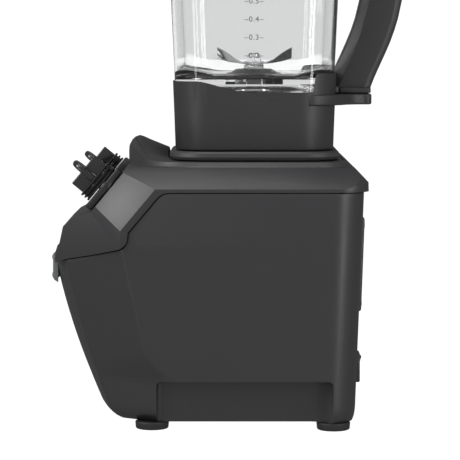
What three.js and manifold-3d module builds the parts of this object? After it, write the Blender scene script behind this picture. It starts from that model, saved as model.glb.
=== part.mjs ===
// A countertop blender: a wide motor base with a sloped control face, and a clear square jar on a
// black collar.
// Millimetres, +Z up. The front faces -X, so its left hand side, seen by whoever uses it, is +Y.
// Pieces are drawn about the vertical drive axis, and the whole is then centred on its own box.
import * as THREE from "three";
import { mergeVertices } from "three/addons/utils/BufferGeometryUtils.js";
import Module from "manifold-3d";

const wasm = await Module();
wasm.setup();

// -------------------------------------------------------- driving dimensions
const halfWidth = 95; // base, from its middle plane to the top of a side panel
const sideDraft = 0.046; // how much a side panel leans in, per mm downwards
const backX = 70.4; // back wall, at its top
const backDraft = 0.035;
const upperBack = 73.3; // back of the upper housing, which overhangs the lower one
const underside = 5.3; // underside of the base above the worktop
const sideTop = 155; // top edge of a side panel
const shoulderZ = 157.6; // lower edge of the shoulder, at its outside
const shoulderSlope = 0.6;
const housingTop = 170.3; // flat top of the upper housing, under the deck
const deckTop = 173.4;
const deckHalf = 63; // the deck plate inside its rim
const deckBack = 58.5;
const deckFront = -79.5;
const deckThick = 2.4;
const rimWidth = 3.4; // of the housing around the deck plate
const ridgeTop = 188.7;
const ridgeX = -76.8;
const wall = 3; // housing walls
const seam = 0.6; // gap along the visible parting line
const gap = 0.3; // gap between pieces that touch

const slopeFoot = new THREE.Vector3(-106.2, 0, 141.5); // lower end of the control slope
const slopeAngle = THREE.MathUtils.degToRad(50.5);
const bezelLength = 33.5; // up the slope
const bezelHalf = 79; // half of its width
const bezelThick = 5.5;
const dialHalf = 64; // a dial's axis from the middle plane
const dialUp = 17.6; // and from the slope's lower end
const dialRadius = 13.7;
const dialTip = 29.4; // height of the finger grip above the slope
const shaftRadius = 3; // of a dial's encoder

const collarHalf = 52.3; // collar, outside, at its bottom
const collarTopHalf = 54;
const collarBottom = 180.3;
const collarFrontTop = 225.5;
const collarBackTop = 218.5;
const collarWall = 3;
const jarCorner = 24;
const jarSkirt = 208; // lower edge of the jar
const jarFloor = 222;
const jarFloorThick = 4;
const jarRim = 428;
const jarWall = 2.6;
const jarFlare = 0.0455; // how much a jar side leans out, per mm
const jarHalf = 52.6; // outside of the jar at the height of its floor
const handleHalf = 13;
const platformBottom = 209.5;
const platformTop = 216.8;
const platformBack = 78.1;

const padHalf = 56.4;
const padCorner = 25;
const padHeight = 6.3;
const padRiseHalf = 44;
const socketRadius = 15;
const socketBore = 9.5; // across corners, inside the drive socket
const splineClear = 0.5;
const motorShaft = 5;
const bladeShaft = 4;
const runClear = 0.3; // running clearance round a turning piece

const canRadius = 46;
const canBottom = 62;
const canTop = 128;
const bearingRadius = 13;
const fanRadius = 44;

const footRadius = 11;
const frontFoot = new THREE.Vector2(-67, 70);
const rearFoot = new THREE.Vector2(51, 75);

const ventHalf = 38;
const ventBottom = 72.8;
const ventTop = 135.3;
const ventProud = 3.8;
const switchBottom = 27.9;
const switchTop = 47.4;
const switchY = -48;
const switchHalf = 7;
const switchProud = 3; // of the back wall
const glandY = 48;
const glandZ = 30;
const glandRadius = 7;

const capRadius = 29;
const lidRise = 14; // top of the lid, above the jar's rim
const capRise = 15; // top of the filler cap, above the lid
const lidTop = jarRim + lidRise;
const capTop = lidTop + capRise;

// -------------------------------------------------------- materials
function finish(color, roughness, metalness = 0) {
  return new THREE.MeshStandardMaterial({ color, roughness, metalness });
}
const housingPlastic = finish(0x46474a, 0.5);
const deckPlastic = finish(0x37383a, 0.45);
const blackPlastic = finish(0x222223, 0.5);
const controlPlastic = finish(0x1f1f20, 0.35);
const rubber = finish(0x1b1b1c, 0.85);
const badgeFace = finish(0xb9bbbd, 0.4);
const steel = finish(0xb8bbbf, 0.25, 1);
const laminations = finish(0x6d7072, 0.5, 1);
const copper = finish(0xb87333, 0.35, 1);
const castMetal = finish(0x8d9092, 0.5, 1);
const carbon = finish(0x2a2a2c, 0.7);
const boardGreen = finish(0x1f5a3a, 0.6);
const clearPlastic = new THREE.MeshStandardMaterial({
  color: 0xe3e8ea, roughness: 0.08, metalness: 0, transparent: true, opacity: 0.35,
});

// -------------------------------------------------------- solids from three.js geometry
const product = new THREE.Group();

/** A closed geometry as a solid that can be cut and joined. */
function solid(geometry) {
  const bare = geometry.index ? geometry.toNonIndexed() : geometry.clone();
  bare.deleteAttribute("normal");
  bare.deleteAttribute("uv");
  const merged = mergeVertices(bare, 1e-4);
  return new wasm.Manifold(new wasm.Mesh({
    numProp: 3,
    vertProperties: merged.attributes.position.array,
    triVerts: new Uint32Array(merged.index.array),
  }));
}

/** Adds a solid to a group as a named mesh. */
function add(name, made, material, group = product) {
  const { numProp, numVert, vertProperties, triVerts } = made.getMesh();
  const places = new Float32Array(numVert * 3);
  for (let i = 0; i < numVert; i++) {
    places.set(vertProperties.subarray(i * numProp, i * numProp + 3), i * 3);
  }
  const geometry = new THREE.BufferGeometry();
  geometry.setAttribute("position", new THREE.BufferAttribute(places, 3));
  geometry.setIndex(new THREE.BufferAttribute(triVerts, 1));
  geometry.computeVertexNormals();
  const mesh = new THREE.Mesh(geometry, material);
  mesh.name = name;
  group.add(mesh);
  return mesh;
}

function box(x0, x1, y0, y1, z0, z1) {
  const geometry = new THREE.BoxGeometry(x1 - x0, y1 - y0, z1 - z0);
  return solid(geometry.translate((x0 + x1) / 2, (y0 + y1) / 2, (z0 + z1) / 2));
}

/** An upright cylinder on the point x, y. */
function rod(radius, z0, z1, x = 0, y = 0, sides = 24) {
  const geometry = new THREE.CylinderGeometry(radius, radius, z1 - z0, sides);
  return solid(geometry.rotateX(Math.PI / 2).translate(x, y, (z0 + z1) / 2));
}

/** A turned piece: its profile of [radius, z] points starts and ends on the axis, or closes on itself. */
function turned(profile, x = 0, y = 0, sides = 24) {
  const points = profile.map(([radius, z]) => new THREE.Vector2(radius, z));
  if (profile[0][0] > 0) points.push(points[0].clone());
  const geometry = new THREE.LatheGeometry(points, sides);
  return solid(geometry.rotateX(Math.PI / 2).translate(x, y, 0));
}

/** A Shape whose corners are [a, b] points. */
function outline(points) {
  return new THREE.Shape(points.map(([a, b]) => new THREE.Vector2(a, b)));
}

/** A side view, drawn as [x, z], with a thickness from y0 to y1. */
function sideView(shape, y0, y1, curveSegments = 6) {
  const geometry = new THREE.ExtrudeGeometry(shape, { depth: y1 - y0, bevelEnabled: false, curveSegments });
  return solid(geometry.rotateX(Math.PI / 2).translate(0, y1, 0));
}

/** A plan, drawn as [x, y], with a height from z0 to z1. */
function plan(shape, z0, z1, curveSegments = 6) {
  const geometry = new THREE.ExtrudeGeometry(shape, { depth: z1 - z0, bevelEnabled: false, curveSegments });
  return solid(geometry.translate(0, 0, z0));
}

/** Skins rings of equal length, lowest first, each counter-clockwise from above. */
function loft(rings) {
  const count = rings[0].length;
  const corners = [];
  for (let level = 0; level + 1 < rings.length; level++) {
    for (let i = 0; i < count; i++) {
      const j = (i + 1) % count;
      const [a, b] = [rings[level][i], rings[level][j]];
      const [c, d] = [rings[level + 1][j], rings[level + 1][i]];
      corners.push(a, b, c, a, c, d);
    }
  }
  const flat = (ring) => ring.map((p) => new THREE.Vector2(p.x, p.y));
  const [bottom, top] = [rings[0], rings[rings.length - 1]];
  for (const [a, b, c] of THREE.ShapeUtils.triangulateShape(flat(bottom), [])) {
    corners.push(bottom[c], bottom[b], bottom[a]);
  }
  for (const [a, b, c] of THREE.ShapeUtils.triangulateShape(flat(top), [])) {
    corners.push(top[a], top[b], top[c]);
  }
  return solid(new THREE.BufferGeometry().setFromPoints(corners));
}

const vector = (x, y, z) => new THREE.Vector3(x, y, z);

/** A square ring with round corners about the drive axis. */
function squareRing(half, radius, z, steps = 5) {
  const ring = [];
  const reach = half - radius;
  for (let corner = 0; corner < 4; corner++) {
    const middle = (corner + 0.5) * Math.PI / 2;
    for (let i = 0; i <= steps; i++) {
      const angle = (corner + i / steps) * Math.PI / 2;
      ring.push(vector(
        Math.SQRT2 * reach * Math.cos(middle) + radius * Math.cos(angle),
        Math.SQRT2 * reach * Math.sin(middle) + radius * Math.sin(angle), z));
    }
  }
  return ring;
}

/** A square block with round corners, straight or tapered: levels of [half, z]. */
const squareBlock = (levels, radius) => loft(levels.map(([half, z]) => squareRing(half, radius, z)));

/** Everything behind a plane: the space on the side that its normal points away from. */
function behind(point, normal, inset = 0) {
  const size = 900;
  const unit = normal.clone().normalize();
  const turn = new THREE.Quaternion().setFromUnitVectors(vector(0, 0, 1), unit);
  const middle = point.clone().addScaledVector(unit, -inset - size / 2);
  const geometry = new THREE.BoxGeometry(size, size, size).applyQuaternion(turn);
  return solid(geometry.translate(middle.x, middle.y, middle.z));
}

const mirrored = (v) => vector(v.x, -v.y, v.z);

/** Cuts a solid back to a plane and to the same plane on the other side of the base. */
function trimBothSides(made, point, normal, inset = 0) {
  return made.intersect(behind(point, normal, inset)).intersect(behind(mirrored(point),
    mirrored(normal), inset));
}

/** The normal of a plane through three points, turned to face away from the middle of the base. */
function normalOf(a, b, c) {
  const normal = b.clone().sub(a).cross(c.clone().sub(a)).normalize();
  return normal.y < 0 ? normal.negate() : normal;
}

// -------------------------------------------------------- the base's outside
const noseRadius = 17; // height over which the underside of the nose curls in
const noseCurl = 8; // and how far it curls in
const halfAt = (z) => halfWidth - sideDraft * Math.max(0, sideTop - z);
const backAt = (z) => backX - backDraft * Math.max(0, sideTop - z);
const noseAt = (z) => -107 - 0.4328 * (z - 21.8) + 0.00137 * (z - 21.8) ** 2;
const creaseAt = (z) => -96.9 - 0.3788 * (z - 18.8) + 0.00098 * (z - 18.8) ** 2;
const creaseHalfAt = (z) => 64 - 0.03 * (z - 18.8);
const panelFrontAt = (z) => -70.2 - 0.221 * (z - 49.1);

/** The base's outline seen from above at one height. */
function baseRing(z, inset) {
  const low = THREE.MathUtils.clamp((noseRadius - z) / (noseRadius - underside), 0, 1);
  const noseTuck = inset + noseCurl * low ** 4;
  const tuck = inset + 4 * low * low;
  const corner = 20 - inset;
  const half = halfAt(z) - tuck;
  const back = backAt(z) - tuck;
  const right = [];
  right.push(vector(noseAt(z) + noseTuck, 0, z));
  const bulge = creaseAt(z) - noseAt(z);
  const creaseHalf = creaseHalfAt(z) - noseTuck * 0.5;
  right.push(vector(noseAt(z) + noseTuck + bulge / 4, -creaseHalf / 2, z));
  right.push(vector(creaseAt(z) + noseTuck, -creaseHalf, z));
  right.push(vector(panelFrontAt(z) + tuck * 0.6, -half, z));
  for (let i = 0; i <= 5; i++) {
    const angle = (i / 5 - 1) * Math.PI / 2;
    right.push(vector(back - corner + corner * Math.cos(angle),
      corner - half + corner * Math.sin(angle), z));
  }
  const left = right.slice(1).map(mirrored).reverse();
  return [...right, ...left];
}

function lowerBlank(inset) {
  const curl = [underside, 6.5, 9, 12.5, noseRadius - 0.01, noseRadius + 0.6];
  const rings = [...curl, 36, 64, 92, 119, 165].map((z) => baseRing(z, inset));
  if (inset === 0) return loft(rings);
  const mouth = rings[0].map((p) => vector(p.x, p.y, underside - 4));
  return loft([mouth, ...rings]);
}

const hoodLow = vector(-123.5, 61.5, 110);
const hoodSide = vector(-87, halfWidth, 118.9);
const slopeCorner = vector(-101.9, halfWidth - 15, 144.4);
const hoodTop = vector(-86, halfWidth - 0.5, 132.4);
const shoulderFront = vector(-64.1, halfWidth, 157.5);
const hoodNormal = normalOf(hoodLow, hoodSide, slopeCorner);
const slopeSideNormal = normalOf(slopeCorner, hoodTop, shoulderFront);
const shoulderPoint = vector(0, halfWidth, shoulderZ);
const shoulderNormal = vector(0, shoulderSlope, 1).normalize();

/** The upper housing before it is hollowed: hood, ledge, control slope and shoulders. */
function upperBlank(inset) {
  const shape = outline([
    [-128, 92], [-131.5, 104], [-125.4, 131], [-121, 135.2], [-112.2, 139.6], [slopeFoot.x, slopeFoot.z],
    [-84.9, 167.3], [-83.6, housingTop], [upperBack - 12, housingTop], [upperBack - 9, 169.7],
    [upperBack - 7.6, 168.2], [upperBack - 0.4, 161.2], [upperBack, 159.8], [upperBack, 92],
  ].reverse());
  let made = sideView(shape, -halfWidth, halfWidth);
  if (inset > 0) {
    // The inside is the same outline moved in from every side that shows.
    made = made.intersect(made.translate(inset, 0, -inset)).intersect(made.translate(-inset, 0, -inset));
    made = made.intersect(box(-200, 200, inset - halfWidth, halfWidth - inset, 0, 300));
  }
  const corner = 20 - inset;
  const half = halfWidth - inset;
  const back = upperBack - inset;
  const footprint = new THREE.Shape();
  footprint.moveTo(-160, -half);
  footprint.lineTo(back - corner, -half);
  footprint.absarc(back - corner, corner - half, corner, -Math.PI / 2, 0);
  footprint.absarc(back - corner, half - corner, corner, 0, Math.PI / 2);
  footprint.lineTo(-160, half);
  made = made.intersect(plan(footprint, 80, 210));
  const cornerNormal = vector(1, 1, 0.85);
  made = trimBothSides(made, vector(upperBack - 5.9, halfWidth - 6, 159), cornerNormal, inset);
  made = trimBothSides(made, hoodLow, hoodNormal, inset);
  made = trimBothSides(made, slopeCorner, slopeSideNormal, inset);
  return trimBothSides(made, shoulderPoint, shoulderNormal, inset);
}

/** The raised carrier on the nose, behind the badge. */
const carrierHalf = 38;
const badgeCarrier = sideView(outline([[-131, 98], [-133.1, 104], [-132.5, 111.8], [-128.6, 119.2],
  [-124, 122],
  [-124, 98]].reverse()), -carrierHalf, carrierHalf);

/** The side view of everything above the parting line, lifted by half the seam. */
function abovePartingLine(lift) {
  const shape = new THREE.Shape();
  shape.moveTo(-150, 101 + lift);
  shape.lineTo(-132.3, 106.1 + lift);
  shape.lineTo(-123.5, 109.6 + lift);
  shape.lineTo(-88.4 - lift, 118.4 + lift);
  shape.quadraticCurveTo(-82 - lift, 120.2 + lift, -81.6 - lift, 126);
  shape.lineTo(-81.2 - lift, 129.5 + lift);
  shape.lineTo(-62.6 - lift, 151.4 + lift);
  shape.quadraticCurveTo(-59.6 - lift, sideTop + lift, -54.5, sideTop + lift);
  shape.lineTo(150, sideTop + lift);
  shape.lineTo(150, 300);
  shape.lineTo(-150, 300);
  return sideView(shape, -150, 150, 4);
}

const recessFront = -63.8;
const recessBack = 38.9;
const recessMouth = 51.6;
const recessTop = 32.8;
const recessDepth = 13;

/** The hand recess along one foot of the base, grown by a wall. */
function handRecess(side, grow) {
  const inner = side * (halfAt(recessTop) - recessDepth - grow);
  const rim = side * halfAt(recessTop);
  const outer = side * (halfWidth + 20);
  const points = [
    [recessFront - grow, outer], [recessFront - grow, inner], [recessBack + grow, inner],
    [recessMouth + grow, rim], [recessMouth + grow, outer],
  ];
  return plan(outline(side > 0 ? points : points.reverse()), -5, recessTop + grow);
}

// -------------------------------------------------------- housings
const recesses = (grow) => handRecess(1, grow).add(handRecess(-1, grow));
const upperSpace = abovePartingLine(seam / 2);
const lowerSpace = box(-150, 150, -150, 150, -50, 300).subtract(abovePartingLine(-seam / 2));
const lowerInside = lowerBlank(wall).subtract(recesses(wall));
const inside = lowerInside.subtract(abovePartingLine(0)).add(upperBlank(wall)
  .intersect(abovePartingLine(-1)));

/** A group whose own Z points out of the control slope and whose Y runs up it, at a place on the slope. */
const slopeUp = vector(Math.cos(slopeAngle), 0, Math.sin(slopeAngle));
function slopeGroup(y) {
  const group = new THREE.Group();
  const place = slopeFoot.clone().addScaledVector(slopeUp, dialUp).setY(y);
  const out = vector(-slopeUp.z, 0, slopeUp.x);
  const across = vector(0, -1, 0);
  group.applyMatrix4(new THREE.Matrix4().makeBasis(across, slopeUp, out).setPosition(place));
  product.add(group);
  return group;
}

/** A solid drawn in a slope group, in the base's own frame. */
function fromSlope(made, group) {
  group.updateMatrix();
  return made.transform(group.matrix.elements);
}
const slopeMiddle = slopeGroup(0);
const slopeSides = { left: slopeGroup(dialHalf), right: slopeGroup(-dialHalf) };
const slopeWall = 5; // housing, measured through the slope
const boardDrop = 14; // control board, below the slope
const encoderHalf = 6.5;
const paddleHalf = 11;
const paddleLength = 17;

const holeRadius = shaftRadius + 1.5;
const socketWell = socketRadius + 3;
const padWell = 38; // half of the deck's opening under the pad
const pinX = 20; // jar sensor pin
const pinY = 24;
const pinRadius = 2.5;

/** The deck's outline from above, grown by a clearance, and its front grown by another. */
function deckPlan(grow, growFront = grow) {
  const half = deckHalf + grow;
  const back = deckBack + grow;
  const corner = 20;
  const shape = new THREE.Shape();
  shape.moveTo(-34, -half);
  shape.lineTo(back - corner, -half);
  shape.absarc(back - corner, corner - half, corner, -Math.PI / 2, 0);
  shape.absarc(back - corner, half - corner, corner, 0, Math.PI / 2);
  shape.lineTo(-34, half);
  shape.absellipse(-34, 0, -34 - deckFront + growFront, half, Math.PI / 2, 1.5 * Math.PI);
  return shape;
}

const ridgeHalf = 56; // the ridge has died away at this distance from the middle plane
/** How much of the ridge's height is left at a distance from the middle plane. */
const ridgeShare = (y) => 0.01 + 0.99 * Math.cos(Math.min(1, Math.abs(y) / ridgeHalf) * Math.PI / 2) ** 1.6;

/** The space under the deck: flat under the jar,
  swept up to a ridge at the front that dies away sideways. */
function deckSide(thin) {
  const shape = new THREE.Shape();
  const top = deckTop - thin;
  shape.moveTo(90, 150);
  shape.lineTo(90, top);
  shape.lineTo(-42, top);
  shape.quadraticCurveTo(-50, top + 0.6, -57, 181 - thin);
  shape.lineTo(ridgeX + 3, ridgeTop - 1.4 - thin);
  shape.quadraticCurveTo(ridgeX, ridgeTop - thin, ridgeX - 3, ridgeTop - 2.2 - thin);
  shape.lineTo(-83.2 + thin, 184 - thin);
  shape.lineTo(-84 + thin, 180 - thin);
  shape.lineTo(-83.4 + thin, 150);
  const line = shape.getPoints(4);
  const rings = [-100];
  for (let y = -ridgeHalf; y <= ridgeHalf; y += ridgeHalf / 7) rings.push(y);
  rings.push(100);
  const heightAt = (z, y) => Math.min(z, top) + Math.max(0, z - top) * ridgeShare(y);
  const made = loft(rings.map((y) => line.map((p) => vector(p.x, heightAt(p.y, y), y))));
  return made.rotate([90, 0, 0]);
}

/** The rim that carries the deck: it spreads from the deck's edge down onto the shoulders. */
function ridgeRim(thin) {
  const ringAt = (grow, growFront, z) => deckPlan(grow - thin, growFront - thin).getPoints(6)
    .map((p) => vector(p.x, p.y, z));
  const spread = loft([ringAt(rimWidth + 15, 5, 150), ringAt(rimWidth + 6, 5, housingTop),
    ringAt(rimWidth, 5, deckTop + 2), ringAt(rimWidth - 2, 5, 200)]);
  return spread.intersect(deckSide(thin)).intersect(box(-100, 100, -100, 100, 160, 200));
}
const ridgeInside = ridgeRim(deckThick + wall).subtract(box(-100, 100, -100, 100, 0, 164));
const deckSpace = plan(deckPlan(gap), 150, 200, 8).subtract(deckSide(deckThick + gap));
const padSeat = squareBlock([[padHalf + 0.8, deckTop], [padHalf + 0.8, 205]], padCorner);

function lowerHousing() {
  let made = lowerBlank(0).intersect(lowerSpace).subtract(recesses(0)).subtract(inside);
  for (let z = ventBottom + 9; z <= ventTop - 12; z += 9) {
    made = made.subtract(box(60, 90, 9 - ventHalf, ventHalf - 9, z, z + 4.5));
  }
  made = made.subtract(box(60, 90, switchY - switchHalf - gap, switchY + switchHalf + gap,
    switchBottom - gap, switchTop + gap));
  const glandHole = new THREE.CylinderGeometry(glandRadius + gap, glandRadius + gap, 40, 24);
  return made.subtract(solid(glandHole.rotateZ(Math.PI / 2).translate(70, glandY, glandZ)));
}

function upperHousing() {
  let made = upperBlank(0).add(badgeCarrier).intersect(upperSpace).subtract(inside);
  made = made.add(ridgeRim(0).subtract(inside)).subtract(ridgeInside).subtract(deckSpace).subtract(padSeat);
  for (const group of Object.values(slopeSides)) {
    made = made.subtract(fromSlope(rod(holeRadius, -9, 9, 0, 0, 20), group));
    const pocket = encoderHalf + gap;
    made = made.subtract(fromSlope(box(-pocket, pocket, -pocket, pocket, -boardDrop, gap - slopeWall),
      group));
  }
  made = made.subtract(fromSlope(box(-paddleHalf - 1, paddleHalf + 1, -paddleLength / 2 - 1,
    paddleLength / 2 + 1,
    -9, 9), slopeMiddle));
  return made.subtract(box(-padWell, padWell, -padWell, padWell, 150, 200));
}
add("lower_housing", lowerHousing(), housingPlastic);
add("upper_housing", upperHousing(), housingPlastic);

const deckCut = box(-padWell - 3, padWell + 3, -padWell - 3, padWell + 3, 150, 200);
const deckPlate = deckSide(0).subtract(deckSide(deckThick)).intersect(plan(deckPlan(0), 150, 200, 8));
add("top_deck", deckPlate.subtract(deckCut).subtract(padSeat), deckPlastic);

// -------------------------------------------------------- underside
const plateTop = underside + 3;
const platePlan = outline(baseRing(underside, wall + gap).map((p) => [p.x, p.y]));
let plate = plan(platePlan, underside, plateTop).subtract(recesses(wall + gap));
for (let i = -3; i <= 3; i++) {
  plate = plate.subtract(box(-30, 30, i * 9 - 2, i * 9 + 2, 0, 20));
}
add("base_plate", plate, housingPlastic);
const feet = {
  foot_front_left: [frontFoot.x, frontFoot.y], foot_front_right: [frontFoot.x, -frontFoot.y],
  foot_rear_left: [rearFoot.x, rearFoot.y], foot_rear_right: [rearFoot.x, -rearFoot.y],
};
for (const [name, [x, y]] of Object.entries(feet)) {
  const profile = [[0, 0], [footRadius - 1.2, 0], [footRadius, 1.2], [footRadius, underside - gap], [0,
    underside - gap]];
  add(name, turned(profile, x, y, 24), rubber);
}

// -------------------------------------------------------- front badge, back panel, power switch, gland
const badgeHalf = 26;
const badge = sideView(outline([[-136.5, 94], [-135.6, 92.5], [-128, 90.5], [-128, 108.6], [-135.9, 108.6],
  [-136.5, 107]].reverse()), -badgeHalf, badgeHalf);
const behindBadge = lowerBlank(-gap).add(upperBlank(0).add(badgeCarrier).translate(-gap, 0, 0));
add("front_badge", badge.subtract(behindBadge), badgeFace);

const ventShape = outline([[backAt(ventBottom) + gap, ventBottom], [backAt(ventBottom) + ventProud,
  ventBottom],
  [backAt(ventTop) + ventProud, ventTop], [backAt(ventTop) + gap, ventTop]]);
let vent = sideView(ventShape, -ventHalf, ventHalf);
for (let z = ventBottom + 9; z <= ventTop - 12; z += 9) {
  vent = vent.subtract(box(60, 90, 10 - ventHalf, ventHalf - 10, z + 0.5, z + 4));
}
add("rear_vent_cover", vent, housingPlastic);

const switchX = backAt((switchBottom + switchTop) / 2);
const switchMiddle = (switchBottom + switchTop) / 2;
const switchFace = switchX + switchProud;
const switchCase = box(switchX - 16, switchFace, switchY - switchHalf, switchY + switchHalf, switchBottom,
  switchTop);
const switchHollow = box(switchFace - 10.2, switchFace + 5, switchY - switchHalf + 1.5,
  switchY + switchHalf - 1.5,
  switchBottom + 1.5, switchTop - 1.5);
add("power_switch_case", switchCase.subtract(switchHollow), blackPlastic);
const rockerReach = switchTop - switchMiddle - 2.6;
const rocker = outline([[-5, -3.5], [-1, -rockerReach + 0.8], [-0.2, -rockerReach], [0.2, -1], [2.3,
  rockerReach],
  [-1, rockerReach - 0.8], [-5, 3.5]]);
const rockerSolid = sideView(rocker, switchY - switchHalf + 2, switchY + switchHalf - 2);
add("power_rocker", rockerSolid.translate(switchFace - 1.2, 0, switchMiddle), controlPlastic);
const glandX = backAt(glandZ);
const gland = new THREE.LatheGeometry([[0, -8], [glandRadius, -8], [glandRadius, gap * 2],
  [glandRadius + 3, gap * 2],
  [glandRadius + 2.4, 2.6], [3.4, 2.6], [3.4, 0], [0, 0]].map(([r, z]) => new THREE.Vector2(r, z)), 24);
add("cord_gland", solid(gland.rotateZ(-Math.PI / 2).translate(glandX, glandY, glandZ)), blackPlastic);

// -------------------------------------------------------- control face
let bezel = box(-bezelHalf, bezelHalf, 0.6, bezelLength - 0.6, gap, bezelThick);
bezel = bezel.translate(0, -dialUp, 0);
const bezelCorner = behind(vector(bezelHalf, bezelLength - dialUp - 13, 0), vector(1, 0.62, 0));
const bezelCornerLow = behind(vector(bezelHalf - 6, -dialUp, 0), vector(1, -0.28, 0.3));
for (const cut of [bezelCorner, bezelCornerLow]) {
  bezel = bezel.intersect(cut).intersect(cut.mirror([1, 0, 0]));
}
for (const x of [-dialHalf, dialHalf]) {
  bezel = bezel.subtract(rod(holeRadius, -9, 9, x, 0, 20));
}
bezel = bezel.subtract(box(-paddleHalf - 1, paddleHalf + 1, -paddleLength / 2 - 1,
  paddleLength / 2 + 1, -9, 12));
add("control_bezel", bezel, blackPlastic, slopeMiddle);

/** A dial: a ribbed skirt of three flanges, a cross and a finger grip, bored for its shaft. */
function dial() {
  const base = bezelThick + gap;
  const profile = [[0, base], [dialRadius, base]];
  for (const height of [6.9, 9.2]) {
    profile.push([dialRadius, height], [dialRadius - 1.6, height + 0.6], [dialRadius - 1.6, height + 1.2],
      [dialRadius, height + 1.6]);
  }
  profile.push([dialRadius, 11.9], [dialRadius - 1, 12.3], [0, 12.3]);
  let made = turned(profile);
  const wing = dialRadius - 2;
  made = made.add(box(-1.6, 1.6, -wing, wing, 11, 21.5));
  const grip = new THREE.Shape();
  grip.moveTo(-wing, 11);
  grip.lineTo(wing, 11);
  grip.lineTo(wing - 0.6, dialTip - 7);
  grip.quadraticCurveTo(wing - 1.5, dialTip, 0, dialTip);
  grip.quadraticCurveTo(1.5 - wing, dialTip, 0.6 - wing, dialTip - 7);
  const fin = new THREE.ExtrudeGeometry(grip, { depth: 3.9, bevelEnabled: false, curveSegments: 5 });
  made = made.add(solid(fin.rotateX(Math.PI / 2).translate(0, 1.95, 0)));
  return made.subtract(rod(shaftRadius + gap, 0, 16 + gap, 0, 0, 20));
}

for (const [side, group] of Object.entries(slopeSides)) {
  add(`dial_${side}`, dial(), controlPlastic, group);
  const body = box(-encoderHalf, encoderHalf, -encoderHalf, encoderHalf, gap - boardDrop, -slopeWall);
  add(`encoder_${side}`, body.add(rod(shaftRadius, -slopeWall - 1, 16, 0, 0, 20)), steel, group);
}
const paddleShape = outline([[-paddleLength / 2, 9], [-2, 7.2], [2, 7.2], [paddleLength / 2, 9],
  [paddleLength / 2, 7], [5, 1], [-5, 1], [-paddleLength / 2, 7]].reverse());
const paddleForm = new THREE.ExtrudeGeometry(paddleShape, { depth: 2 * paddleHalf, bevelEnabled: false });
const toSlopeAcross = new THREE.Matrix4().makeBasis(vector(0, 1, 0), vector(0, 0, 1), vector(1, 0, 0));
const paddle = solid(paddleForm.applyMatrix4(toSlopeAcross).translate(-paddleHalf, 0, 0));
add("pulse_paddle", paddle, controlPlastic, slopeMiddle);
add("paddle_switch", box(-9, 9, -6, 6, gap - boardDrop, -1.5), blackPlastic, slopeMiddle);
const board = box(-78, 78, -dialUp + 2, dialUp - 6, -boardDrop - 1.6, -boardDrop);
add("control_board", board, boardGreen, slopeMiddle);

// -------------------------------------------------------- jar seat
const padBottom = deckTop + gap;
const padTop = deckTop + padHeight;
let pad = squareBlock([[padHalf - 1, padBottom], [padHalf, padBottom + 2], [padHalf - 0.6, padTop - 1],
  [padHalf - 2, padTop]], padCorner);
pad = pad.add(squareBlock([[padRiseHalf + 1, padTop - 1], [padRiseHalf, padTop + 9], [padRiseHalf - 2,
  padTop + 11]],
  jarCorner - 8));
pad = pad.add(squareBlock([[padWell - gap, housingTop - wall + gap], [padWell - gap, padBottom + 1]], 4));
pad = pad.subtract(rod(socketWell, 150, 210));
pad = pad.subtract(squareBlock([[padRiseHalf - 9, padTop + 7], [padRiseHalf - 9, 210]], jarCorner - 12));
const pinPlaces = rod(pinRadius + 0.5, 150, 210, pinX, pinY, 16);
add("jar_pad", pad.subtract(pinPlaces), rubber);
const pinProfile = [[0, padTop - 12.5], [pinRadius, padTop - 12.5], [pinRadius, padTop + 9.5],
  [pinRadius - 1, padTop + 10.5],
  [0, padTop + 10.5]];
add("jar_sensor_pin", turned(pinProfile, pinX, pinY, 16), blackPlastic);
const sensorTop = padTop - 16.5;
add("jar_sensor_switch", box(pinX - 5, pinX + 5, pinY - 6, pinY + 6, sensorTop - 9, sensorTop),
  blackPlastic);

// -------------------------------------------------------- motor
const shaftBottom = canBottom - 30;
const shaftTop = 176;
add("motor_shaft", rod(motorShaft, shaftBottom, shaftTop, 0, 0, 20), steel);
const socketBottom = 160;
const socketTop = padTop + 12;
const splineBottom = shaftTop + gap;
let socket = turned([[0, socketBottom], [9, socketBottom], [socketRadius, socketBottom + 8],
  [socketRadius, socketTop],
  [0, socketTop]]);
socket = socket.subtract(rod(motorShaft + gap, 100, shaftTop + gap, 0, 0, 20));
socket = socket.subtract(rod(socketBore, splineBottom, 210, 0, 0, 6));
add("drive_socket", socket, steel);

const stator = turned([[canRadius - 16, canBottom + 8], [canRadius, canBottom + 8], [canRadius,
  canTop - 12],
  [canRadius - 16, canTop - 12]]);
add("stator_core", stator, laminations);
const rotorRadius = canRadius - 16 - 1;
add("rotor_core", turned([[motorShaft + gap, canBottom + 10], [rotorRadius, canBottom + 10],
  [rotorRadius, canTop - 14], [motorShaft + gap, canTop - 14]]), laminations);
add("rotor_winding", turned([[motorShaft + 2, canTop - 14 + gap], [rotorRadius - 4, canTop - 14 + gap],
  [rotorRadius - 8, canTop - 5], [motorShaft + 2, canTop - 5]]), copper);
add("commutator", turned([[motorShaft + gap, canBottom - 10], [13, canBottom - 10], [13, canBottom + 9.5],
  [motorShaft + gap, canBottom + 9.5]], 0, 0, 24), copper);
for (const [name, side] of [["brush_left", 1], ["brush_right", -1]]) {
  const [near, far] = [13 + 0.5, 34].map((reach) => side * reach);
  add(name, box(-4, 4, Math.min(near, far), Math.max(near, far), canBottom - 6, canBottom + 4), carbon);
}
const bracketTop = canTop + 8;
let bracket = turned([[bearingRadius + gap, canTop - 4], [canRadius + 3, canTop - 4], [canRadius + 3,
  bracketTop],
  [bearingRadius + gap, bracketTop]]);
bracket = bracket.add(box(-58, -40, -16, 16, bracketTop - 5, bracketTop))
  .add(box(40, 58, -16, 16, bracketTop - 5, bracketTop));
bracket = bracket.subtract(turned([[0, canTop - 5], [rotorRadius, canTop - 5], [rotorRadius,
  canTop - 2], [0, canTop - 2]]));
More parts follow.
